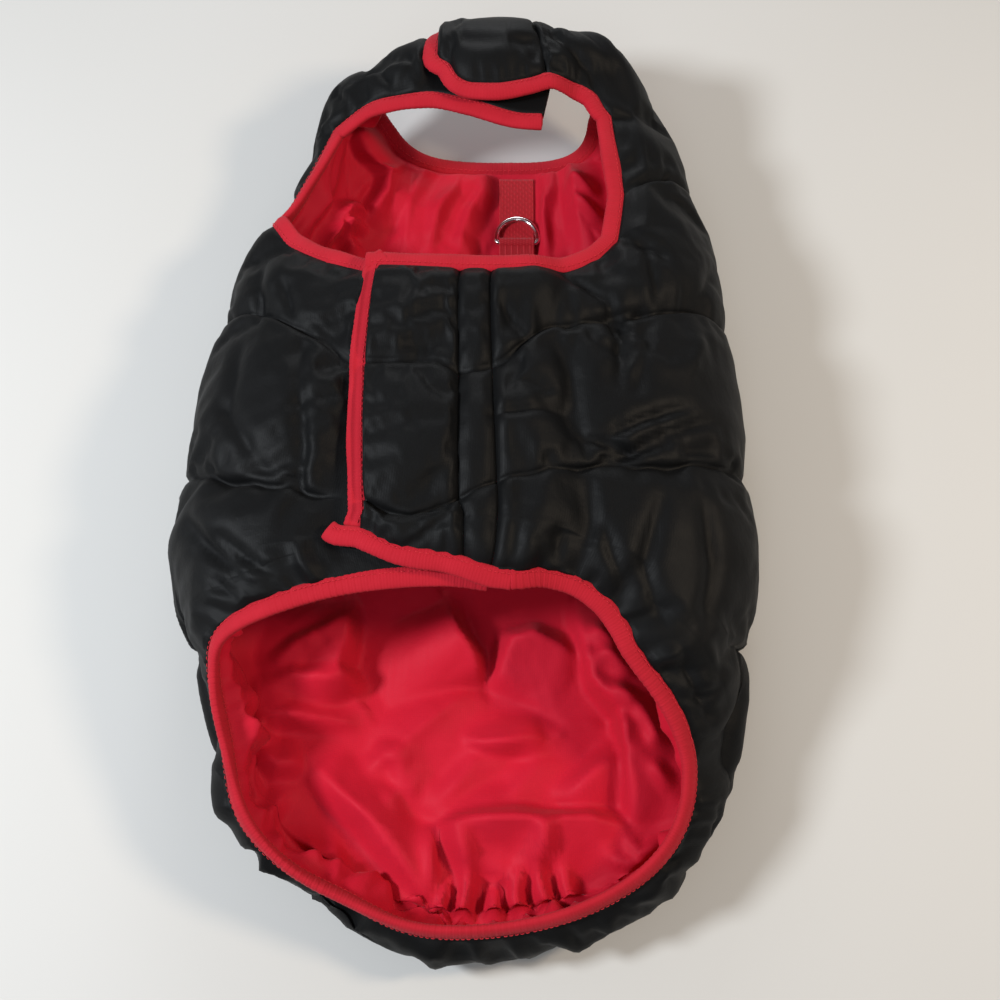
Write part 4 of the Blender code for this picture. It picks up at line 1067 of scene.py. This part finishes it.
def binding_section(at, walls, seed, ribs, groove):
    """(across, up) of the section at every station: a rounded flat tube, fuller at the seam."""
    rng = np.random.default_rng(seed)
    near, far = -1.7, BINDING_WIDTH + 0.4
    low, high = -GAP - LINING - BINDING_COVER, walls + BINDING_COVER
    sides = 18 if groove == 0 else 44
    angle = np.linspace(0, 2 * math.pi, sides, endpoint=False)
    middle = (near + far) / 2
    across = middle + (far - near) / 2 * squared(np.cos(angle), 3.4)
    swell = 1 - 0.30 * ease(across, 4.0, far) - 0.10 * bell(across - 1.1, 1.3)
    swell -= groove * bell(across - GROOVE_AT, GROOVE_WIDTH)
    slow = sum(np.sin(at / rng.uniform(9, 26) * 2 + rng.uniform(0, 6)) for _ in range(5)) / 5
    beat = np.cumsum(rng.uniform(2.6, 4.6, int(at[-1] / 2.6) + 2))
    nearest = np.abs(at[:, None] - beat[None]).min(axis=1)
    rib = bell(nearest, 0.9) * ribs * (0.6 + 0.4 * np.sin(at / 17.0 + seed))
    half = (high - low)[:, None] / 2 * (1 + 0.05 * slow - 0.055 * rib)[:, None]
    up = (high + low)[:, None] / 2 + half * (squared(np.sin(angle), 2.6) * swell) + 0.25 * slow[:, None]
    wide = across + (0.5 * slow - 0.30 * rib)[:, None] * ease(across, 3, far)
    ends = np.minimum(at, at[-1] - at)
    close = np.sqrt(np.clip(1 - (1 - np.clip(ends / 1.6, 0, 1)) ** 2, 0.12, 1))[:, None]
    up = (high + low)[:, None] / 2 * (1 - close) + up * close
    return np.stack([middle + (wide - middle) * close, up], axis=-1)


# ---------------------------------------------------------------- webbing and ring

NEAR_SPINE = slice(FORM.shape[1] // 4, 3 * FORM.shape[1] // 4)


def lining_top(x, y):
    """Height of the lining's upper face on the back panel."""
    low = FORM[:, NEAR_SPINE].reshape(-1, 3)
    away = (low[:, 0] - x) ** 2 + (low[:, 1] - y) ** 2
    return low[np.argsort(away)[:6], 2].max() + GAP + LINING


def ribbon(y, rise, lean):
    """A woven tape's points at stations along y, each rise above the lining and leaning by lean."""
    across = np.linspace(-1, 1, 25)
    selvedge = np.abs(across) ** 12
    top = WEBBING / 2 * (1 + 0.18 * selvedge) + 0.10 * np.sin(across * 12 * math.pi) * (1 - selvedge)
    outline = np.concatenate([np.stack([across, -top], 1), np.stack([across[::-1], top[::-1]], 1)])
    tilt_up = np.stack([np.zeros_like(lean), np.sin(lean), np.cos(lean)], axis=1)
    base = smoothed(np.array([[lining_top(WEBBING_X, value)] for value in y]), 4)[:, 0]
    middle = np.stack([np.full_like(y, WEBBING_X), y, base + rise], axis=1)
    ribs = 1 + 0.10 * np.cos(2 * math.pi * np.arange(len(y)) / WEFT_EVERY)[:, None]
    wide = outline[:, 0] * WEBBING_WIDTH / 2
    return (middle[:, None] + ACROSS * wide[None, :, None]
            + tilt_up[:, None] * (outline[:, 1] * ribs)[..., None] + tilt_up[:, None] * WEBBING / 2)


def ribbon_shape(y, rise, lean):
    """A woven tape as a shape of its own, mapped flat."""
    points = ribbon(y, rise, lean)
    stations, sides = points.shape[:2]
    flat = np.broadcast_arrays(np.linspace(0, 52, sides)[None], np.arange(stations)[:, None] * 1.0)
    shape = Shape()
    shape.add(points, bar_faces(stations, sides), np.stack(flat, -1))
    return shape


def sew_sides(shape, from_y, to_y, rise):
    """A line of stitches along each side of a tape."""
    y = np.arange(from_y, to_y, WEBBING_STITCH_PITCH)
    z = np.array([lining_top(WEBBING_X, value) for value in y]) + rise
    for x in (-WEBBING_STITCH_X, WEBBING_STITCH_X):
        middle = np.stack([np.full_like(y, WEBBING_X + x), y, z], axis=1)
        add_stitches(shape, middle, unit(np.gradient(middle, axis=0)), np.tile(UP, (len(y), 1)))


def sew_across(shape, y, rise):
    """A line of stitches across a tape."""
    x = np.arange(WEBBING_X - 9, WEBBING_X + 9.1, 3.6)
    middle = np.stack([x, np.full_like(x, y), np.full_like(x, lining_top(WEBBING_X, y) + rise)], axis=1)
    add_stitches(shape, middle, np.tile(ACROSS, (len(x), 1)), np.tile(UP, (len(x), 1)))


def add_webbing_tape(materials):
    """The tape that is sewn to the lining."""
    y = np.arange(WEBBING_TO_Y, WEBBING_FROM_Y, 1.0)
    tape = ribbon_shape(y, np.zeros_like(y), np.zeros_like(y))
    sew_sides(tape, WEBBING_TO_Y + 3, WEBBING_FROM_Y - 2, WEBBING + 0.15)
    return tape.make("webbing_tape", materials, turn=True)


def add_ring_loop(materials):
    """The tape that is sewn over the first one and goes round the ring's bar."""
    top = WEBBING + 0.25
    turn = np.linspace(math.radians(-62), math.radians(66), 24)
    bar = RING_WIRE / 2 + GAP
    low_y = np.arange(LOOP_FROM_Y, LOOP_TO_Y, 1.0)
    blend = ease(low_y, RING_BAR_Y - 14, RING_BAR_Y - 6)
    loop = ribbon_shape(np.concatenate([low_y, RING_BAR_Y + bar * np.sin(turn)]),
                        np.concatenate([top + 0.6 * blend, RING_RISE + bar * np.cos(turn)]),
                        np.concatenate([-0.5 * blend, turn]))
    sew_sides(loop, LOOP_FROM_Y + 2, LOOP_TO_Y - 1, top + WEBBING + 0.1)
    for y in (LOOP_FROM_Y + 2.5, LOOP_TO_Y - 2.5):
        sew_across(loop, y, top + WEBBING + 0.15)
    return loop.make("webbing_ring_loop", materials, turn=True)


def add_ring(material):
    """A D of round wire: a straight bar and a half round, lying on the webbing."""
    z = lining_top(WEBBING_X, RING_BAR_Y) + RING_RISE
    half, corner, sides = WEBBING_WIDTH / 2 + RING_WIRE / 2 + 0.6, 3.0, 20
    bar = [(x, 0.0) for x in np.linspace(-half + corner, half - corner, 24)]
    turn = [(half - corner + corner * math.sin(a), corner - corner * math.cos(a))
            for a in np.linspace(0.15, math.pi / 2, 8)]
    bow = [(half * math.cos(a), corner + (half + 2.0) * math.sin(a))
           for a in np.linspace(0.03, math.pi - 0.03, 70)]
    path = bar + turn + bow + [(-x, y) for x, y in turn[::-1]]
    points = np.array([(WEBBING_X + x, RING_BAR_Y + y, z) for x, y in path])
    along = unit(np.roll(points, -1, axis=0) - np.roll(points, 1, axis=0))
    side = np.cross(along, UP)
    angle = np.linspace(0, 2 * math.pi, sides, endpoint=False)[:, None]
    ring = points[:, None] + (side[:, None] * np.cos(angle) + UP * np.sin(angle)) * RING_WIRE / 2
    shape = Shape()
    flat = np.meshgrid(np.arange(float(sides)), np.arange(float(len(points))))
    shape.add(ring, bar_faces(len(points), sides, closed=True), np.stack(flat, axis=-1))
    return shape.make("lead_ring", [material], turn=True)


# ---------------------------------------------------------------- materials

# How far Blender's wave texture runs on over one unit at a scale of 1.
WAVE_RADIANS = 20.0


class Graph:
    """A short way to write a material's nodes. Its colour and roughness hold where no node sets them."""

    def __init__(self, name, colour, roughness, **facts):
        self.material = bpy.data.materials.new(name)
        self.material.use_nodes = True
        self.tree = self.material.node_tree
        self.shader = self.tree.nodes["Principled BSDF"]
        self.shader.inputs["Base Color"].default_value = (*colour, 1.0)
        self.shader.inputs["Roughness"].default_value = roughness
        for socket, value in facts.items():
            self.shader.inputs[socket.replace("_", " ")].default_value = value
        self.where = self.node("ShaderNodeTexCoord")

    def node(self, kind, values=None, **settings):
        """A node with its inputs' values, each a number or another node's output, and its settings."""
        found = self.tree.nodes.new(kind)
        for key, value in settings.items():
            setattr(found, key, value)
        for key, value in (values or {}).items():
            if hasattr(value, "is_output"):
                self.tree.links.new(value, found.inputs[key])
            else:
                found.inputs[key].default_value = value
        return found

    def noise(self, source, scale, detail=3.0, stretch=(1, 1, 1), rough=0.55):
        """Cloudy variation over the object or the flat cloth, from 0 to 1."""
        spread = self.node("ShaderNodeMapping", {"Vector": self.where.outputs[source], "Scale": stretch})
        values = {"Vector": spread.outputs[0], "Scale": scale, "Detail": detail, "Roughness": rough}
        return self.node("ShaderNodeTexNoise", values).outputs["Fac"]

    def wave(self, width, direction, turn=0.0, distortion=0.0):
        """Soft ridges and hollows by turns on the flat cloth, each width millimetres wide."""
        flat = self.where.outputs["UV"]
        turned = self.node("ShaderNodeMapping", {"Vector": flat, "Rotation": (0, 0, turn)}).outputs[0]
        scale = 1000.0 / width / WAVE_RADIANS * math.pi
        values = {"Vector": turned, "Scale": scale, "Distortion": distortion}
        found = self.node("ShaderNodeTexWave", values, bands_direction=direction, wave_profile="SIN")
        return found.outputs["Fac"]

    def maths(self, operation, a, b):
        return self.node("ShaderNodeMath", {0: a, 1: b}, operation=operation).outputs[0]

    def tint(self, value, dark, light):
        """The colour runs from dark to light as value does from 0 to 1."""
        found = self.node("ShaderNodeMix", {"Factor": value}, data_type="RGBA")
        found.inputs[6].default_value, found.inputs[7].default_value = (*dark, 1.0), (*light, 1.0)
        self.tree.links.new(found.outputs[2], self.shader.inputs["Base Color"])

    def dull(self, value, low, high):
        """The roughness runs from low to high as value does from 0 to 1."""
        found = self.node("ShaderNodeMapRange", {"Value": value, "To Min": low, "To Max": high})
        self.tree.links.new(found.outputs[0], self.shader.inputs["Roughness"])

    def bump(self, layers):
        """Layers of (height, distance in millimetres), one on the other."""
        last = None
        for height, distance in layers:
            values = {"Height": height, "Distance": distance * MM, "Strength": 1.0}
            if last is not None:
                values["Normal"] = last
            last = self.node("ShaderNodeBump", values).outputs[0]
        self.tree.links.new(last, self.shader.inputs["Normal"])


def weave(graph, width):
    """Threads over and under each other, each width millimetres wide."""
    return graph.maths("MULTIPLY", graph.wave(width, "X"), graph.wave(width, "Y"))


def shell_material():
    """Black padded nylon: a tight plain weave, a faint crinkle and a soft sheen."""
    g = Graph("black_nylon", (0.005, 0.0052, 0.0055), 0.56, Sheen_Weight=0.01, Sheen_Roughness=0.5,
              Specular_IOR_Level=0.12)
    broad, fine = g.noise("Object", 14.0, 3.0), g.noise("Object", 150.0, 4.0)
    g.tint(broad, (0.0016, 0.0017, 0.0019), (0.0034, 0.0036, 0.0039))
    g.dull(g.maths("ADD", g.maths("MULTIPLY", broad, 0.6), g.maths("MULTIPLY", fine, 0.4)), 0.46, 0.64)
    crinkle = g.noise("UV", 55.0, 5.0, (1.0, 0.45, 1.0), 0.6)
    g.bump([(crinkle, 0.8), (fine, 0.15), (weave(g, 0.55), 0.035)])
    return g.material


def lining_material():
    """Red taffeta: a fine weave with slubs, brighter where it catches the light."""
    g = Graph("red_taffeta", (0.60, 0.012, 0.030), 0.50, Sheen_Weight=0.06, Sheen_Roughness=0.4,
              Specular_IOR_Level=0.16)
    g.shader.inputs["Sheen Tint"].default_value = (1.0, 0.4, 0.45, 1.0)
    g.shader.inputs["Specular Tint"].default_value = (1.0, 0.45, 0.5, 1.0)
    broad, slub = g.noise("Object", 18.0, 3.0), g.noise("UV", 420.0, 2.0, (1.0, 0.06, 1.0))
    g.tint(broad, (0.45, 0.008, 0.022), (0.53, 0.013, 0.034))
    g.dull(slub, 0.50, 0.66)
    crinkle = g.noise("UV", 75.0, 4.0, (0.7, 1.0, 1.0), 0.55)
    g.bump([(crinkle, 0.6), (slub, 0.05), (weave(g, 0.5), 0.03)])
    return g.material


def binding_material():
    """Matte red tape with cross ribs."""
    g = Graph("red_binding", (0.60, 0.018, 0.032), 0.78, Sheen_Weight=0.03, Sheen_Roughness=0.6,
              Specular_IOR_Level=0.12)
    broad, fuzz = g.noise("Object", 60.0, 3.0), g.noise("Object", 1400.0, 2.0)
    ribs = g.wave(0.9, "X", distortion=0.6)
    g.tint(broad, (0.35, 0.007, 0.016), (0.45, 0.012, 0.026))
    g.dull(fuzz, 0.68, 0.88)
    g.bump([(ribs, 0.09), (fuzz, 0.06)])
    return g.material


def thread_material():
    """Twisted red thread, with painted shade darker in the grooves of its twist."""
    g = Graph("red_thread", (0.55, 0.015, 0.03), 0.6, Specular_IOR_Level=0.3)
    twist = g.wave(0.35, "X", turn=0.7)
    # Painted shade: the colour is darker where the twist's bump is low, in its grooves.
    g.tint(twist, (0.46, 0.010, 0.02), (0.62, 0.02, 0.034))
    g.bump([(twist, 0.04)])
    return g.material


def webbing_material():
    """Red polyester webbing: twill ribs along it, crossed by the weft, with painted shade in the hollows
    between ribs.
    """
    g = Graph("red_webbing", (0.60, 0.014, 0.024), 0.62, Sheen_Weight=0.1, Sheen_Roughness=0.5,
              Specular_IOR_Level=0.25)
    warp = g.wave(1.1, "X")
    twill = g.wave(1.6, "X", turn=0.8)
    cloth = g.maths("MULTIPLY", warp, twill)
    # Painted shade: the colour follows the rib bump and is darker in its hollows.
    g.tint(cloth, (0.36, 0.006, 0.013), (0.47, 0.011, 0.022))
    g.dull(g.noise("Object", 900.0), 0.5, 0.74)
    g.bump([(cloth, 0.16), (g.noise("Object", 700.0), 0.05)])
    return g.material


def tape_material(name, hooks):
    """Touch tape: a field of small hooks, or a felt of loops. Its colour varies at random and is partly painted
    shade, darker where the fuzz bump is low.
    """
    g = Graph(name, (0.015, 0.015, 0.016), 0.9, Sheen_Weight=0.4)
    fuzz = g.noise("Object", 1100.0 if hooks else 420.0, 5.0)
    cells = g.node("ShaderNodeTexVoronoi", {"Vector": g.where.outputs["Object"], "Scale": 620.0})
    # Random tone and painted shade: the fuzz that sets the colour is also the bump, so low fibres are darker.
    g.tint(fuzz, (0.008, 0.008, 0.009), (0.030, 0.030, 0.032))
    g.dull(fuzz, 0.7, 0.95)
    g.bump([(cells.outputs["Distance"] if hooks else fuzz, 0.5), (fuzz, 0.2)])
    return g.material


def chrome_material():
    """Polished wire with faint scuffs."""
    g = Graph("polished_chrome", (0.82, 0.82, 0.84), 0.12, Metallic=1.0)
    scuff = g.noise("Object", 260.0, 5.0, (1.0, 3.0, 1.0))
    g.dull(scuff, 0.06, 0.22)
    g.bump([(scuff, 0.03)])
    return g.material


def floor_material():
    g = Graph("pale_floor", (0.56, 0.555, 0.54), 0.75, Specular_IOR_Level=0.2)
    g.tint(g.noise("Object", 3.0), (0.55, 0.545, 0.525), (0.57, 0.565, 0.55))
    return g.material


# ---------------------------------------------------------------- stage

def add_camera():
    tilt = math.radians(CAMERA_ELEVATION)
    camera = add_object("camera", bpy.data.cameras.new("camera"))
    camera.data.angle = math.radians(CAMERA_FOV)
    camera.location = (CAMERA_TARGET[0], CAMERA_TARGET[1] - CAMERA_DISTANCE * math.cos(tilt),
                       CAMERA_TARGET[2] + CAMERA_DISTANCE * math.sin(tilt))
    camera.rotation_euler = (math.pi / 2 - tilt, 0.0, 0.0)
    bpy.context.scene.camera = camera


def add_light(name, place_at, size, power, colour):
    """A round light that faces the coat."""
    light = bpy.data.lights.new(name, "AREA")
    light.shape, light.size, light.energy, light.color = "DISK", size, power, colour
    thing = add_object(name, light)
    thing.location = place_at
    away = np.array(place_at) - LIGHTS_AIM
    tilt, turn = math.acos(away[2] / np.linalg.norm(away)), math.atan2(away[1], away[0]) + math.pi / 2
    thing.rotation_euler = (tilt, 0.0, turn)


def add_stage():
    """The floor, the lights and what lies behind them."""
    mesh = bpy.data.meshes.new("floor")
    corners = [(x * FLOOR_HALF, y * FLOOR_HALF, 0) for x, y in ((-1, -1), (1, -1), (1, 1), (-1, 1))]
    mesh.from_pydata(corners, [], [(0, 1, 2, 3)])
    mesh.materials.append(floor_material())
    add_object("floor", mesh)
    for light in LIGHTS:
        add_light(*light)
    bpy.context.scene.view_settings.view_transform = "Standard"
    world = bpy.data.worlds.new("studio")
    world.use_nodes = True
    background = world.node_tree.nodes["Background"]
    background.inputs["Color"].default_value = WORLD_COLOUR
    background.inputs["Strength"].default_value = WORLD_STRENGTH
    bpy.context.scene.world = world


# ---------------------------------------------------------------- the coat

def make_sheets():
    """Every padded piece and every lining, as (sheet, node that it stands for)."""
    leg, strap, neck = (int(ROW_AT[k]) for k in (LEG, STRAP, NECK))
    left, leg_left, leg_right = (COLUMN[k] for k in ("left_end", "leg_left", "leg_right"))
    strip_right, strip_left, right = (COLUMN[k] for k in ("strip_right", "strip_left", "right_end"))
    body = [(0, leg, left, strip_right), (leg, strap, leg_left, leg_right), (strap, neck, left, strip_right)]
    strip, flap = [(0, leg, strip_right, strip_left)], [(0, leg, strip_left, right)]
    tab, whole_flap = [(strap, neck, strip_right, right)], [(0, leg, strip_right, right)]
    puff, slack = (shell_start, shell_detail), (lining_start, lining_detail)
    padded = [
        (Sheet("padded_body", body, *puff, *BLOWN, {strip_right: -1}), "body_shell"),
        (Sheet("padded_strip", strip, *puff, *NARROW, {strip_right: 1, strip_left: -1}), "placket_strip"),
        (Sheet("padded_belly_flap", flap, *puff, *BLOWN, {strip_left: 1}), "belly_flap_shell"),
        (Sheet("padded_chest_tab", tab, *puff, *BLOWN, {strip_right: 1}), "chest_tab_shell"),
    ]
    linings = [
        (Sheet("lining_body", body, *slack, *LOOSE, {strip_right: -1}), "body_lining"),
        (Sheet("lining_belly_flap", whole_flap, *slack, *LOOSE, {strip_right: 1}), "belly_flap_lining"),
        (Sheet("lining_chest_tab", tab, *slack, *LOOSE, {strip_right: 1}), "chest_tab_lining"),
    ]
    return padded, linings


def add_bindings(materials):
    """Every binding, as (piece, node that it stands for)."""
    left, leg_left, leg_right = (COLUMN[k] for k in ("left_end", "leg_left", "leg_right"))
    right, join = COLUMN["right_end"], COLUMN["strip_right"] - 2
    reach = (BINDING_WIDTH + 2 * GAP) / HALF_GIRTH
    hem = lattice_way((HEM, left), (HEM, join))
    hem = np.concatenate([moved(hem[0], du=-reach), hem])
    flap_hem = lattice_way((HEM, join), (HEM, right))
    flap_hem[0, 1] -= HEM_JOIN / HALF_GIRTH
    corner = [moved(flap_hem[-1], du=widths * reach, ds=up) for widths, up in HEM_CORNER]
    flap_hem = np.concatenate([flap_hem] + corner)
    neck = lattice_way((NECK, left), (NECK, right))
    neck = np.concatenate([moved(neck[0], du=-reach), neck, moved(neck[-1], du=reach)])
    over = lattice_way((NECK, right), (STRAP, right), (STRAP, leg_right), (LEG, leg_right), (LEG, right))
    over = np.concatenate([over, moved(over[-1], du=reach)])
    under = lattice_way((LEG, left), (LEG, leg_left), (STRAP, leg_left), (STRAP, left))
    under = np.concatenate([moved(under[0], du=-reach), under])
    flap_edge, underlap_edge = lattice_way((HEM, right), (LEG, right)), lattice_way((HEM, left), (LEG, left))
    flap_edge = np.concatenate([flap_edge, moved(flap_edge[-1], *EDGE_CORNER)])
    laid = [
        ("bound_hem", "hem_binding", hem, -1, {"step": 1.0, "ribs": 1.4}),
        ("bound_flap_hem", "flap_hem_binding", flap_hem, -1, {}),
        ("bound_neck", "neck_binding", neck, 1, {}),
        ("bound_leg_right", "leg_binding_right", over, 1, {}),
        ("bound_leg_left", "leg_binding_left", under, 1, {}),
        ("bound_flap_edge", "flap_edge_binding", flap_edge, -1, {"groove": 0.6}),
        ("bound_underlap_edge", "underlap_edge_binding", underlap_edge, 1, {}),
    ]
    return [(add_binding(name, way, side, BINDING_SEED + k, materials, **more), node)
            for k, (name, node, way, side, more) in enumerate(laid)]


def settle(piece, node):
    """The piece moves with the coat and stands for a node of the model, which it hides."""
    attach(piece, "root")
    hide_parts(node)


def finish_tapes(frame):
    """Gives the hook-and-loop tapes, which stay as they are in the model, their materials."""
    materials = {"loop": tape_material("loop_tape", False), "hook": tape_material("hook_tape", True)}
    for name, node in frame["nodes"].items():
        if name.endswith("_tape"):
            node.data.materials.clear()
            node.data.materials.append(materials["hook" if "hook" in name else "loop"])


def main():
    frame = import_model()
    add_camera()
    add_stage()
    padded, linings = make_sheets()
    blow_up([sheet for sheet, _ in padded + linings])
    nylon, taffeta = shell_material(), lining_material()
    for sheet, node in padded:
        piece = add_padded_sheet(sheet, nylon)
        settle(piece, node)
    cloths = {}
    for sheet, node in linings:
        cloths[node] = add_open_sheet(sheet, taffeta)
        settle(cloths[node], node)
    for piece, node in add_bindings([binding_material(), thread_material()]):
        settle(piece, node)
    red = [webbing_material(), thread_material()]
    tape, loop, ring = add_webbing_tape(red), add_ring_loop(red), add_ring(chrome_material())
    settle(tape, "webbing_strip")
    settle(loop, "webbing_loop")
    settle(ring, "d_ring")
    finish_tapes(frame)


main()
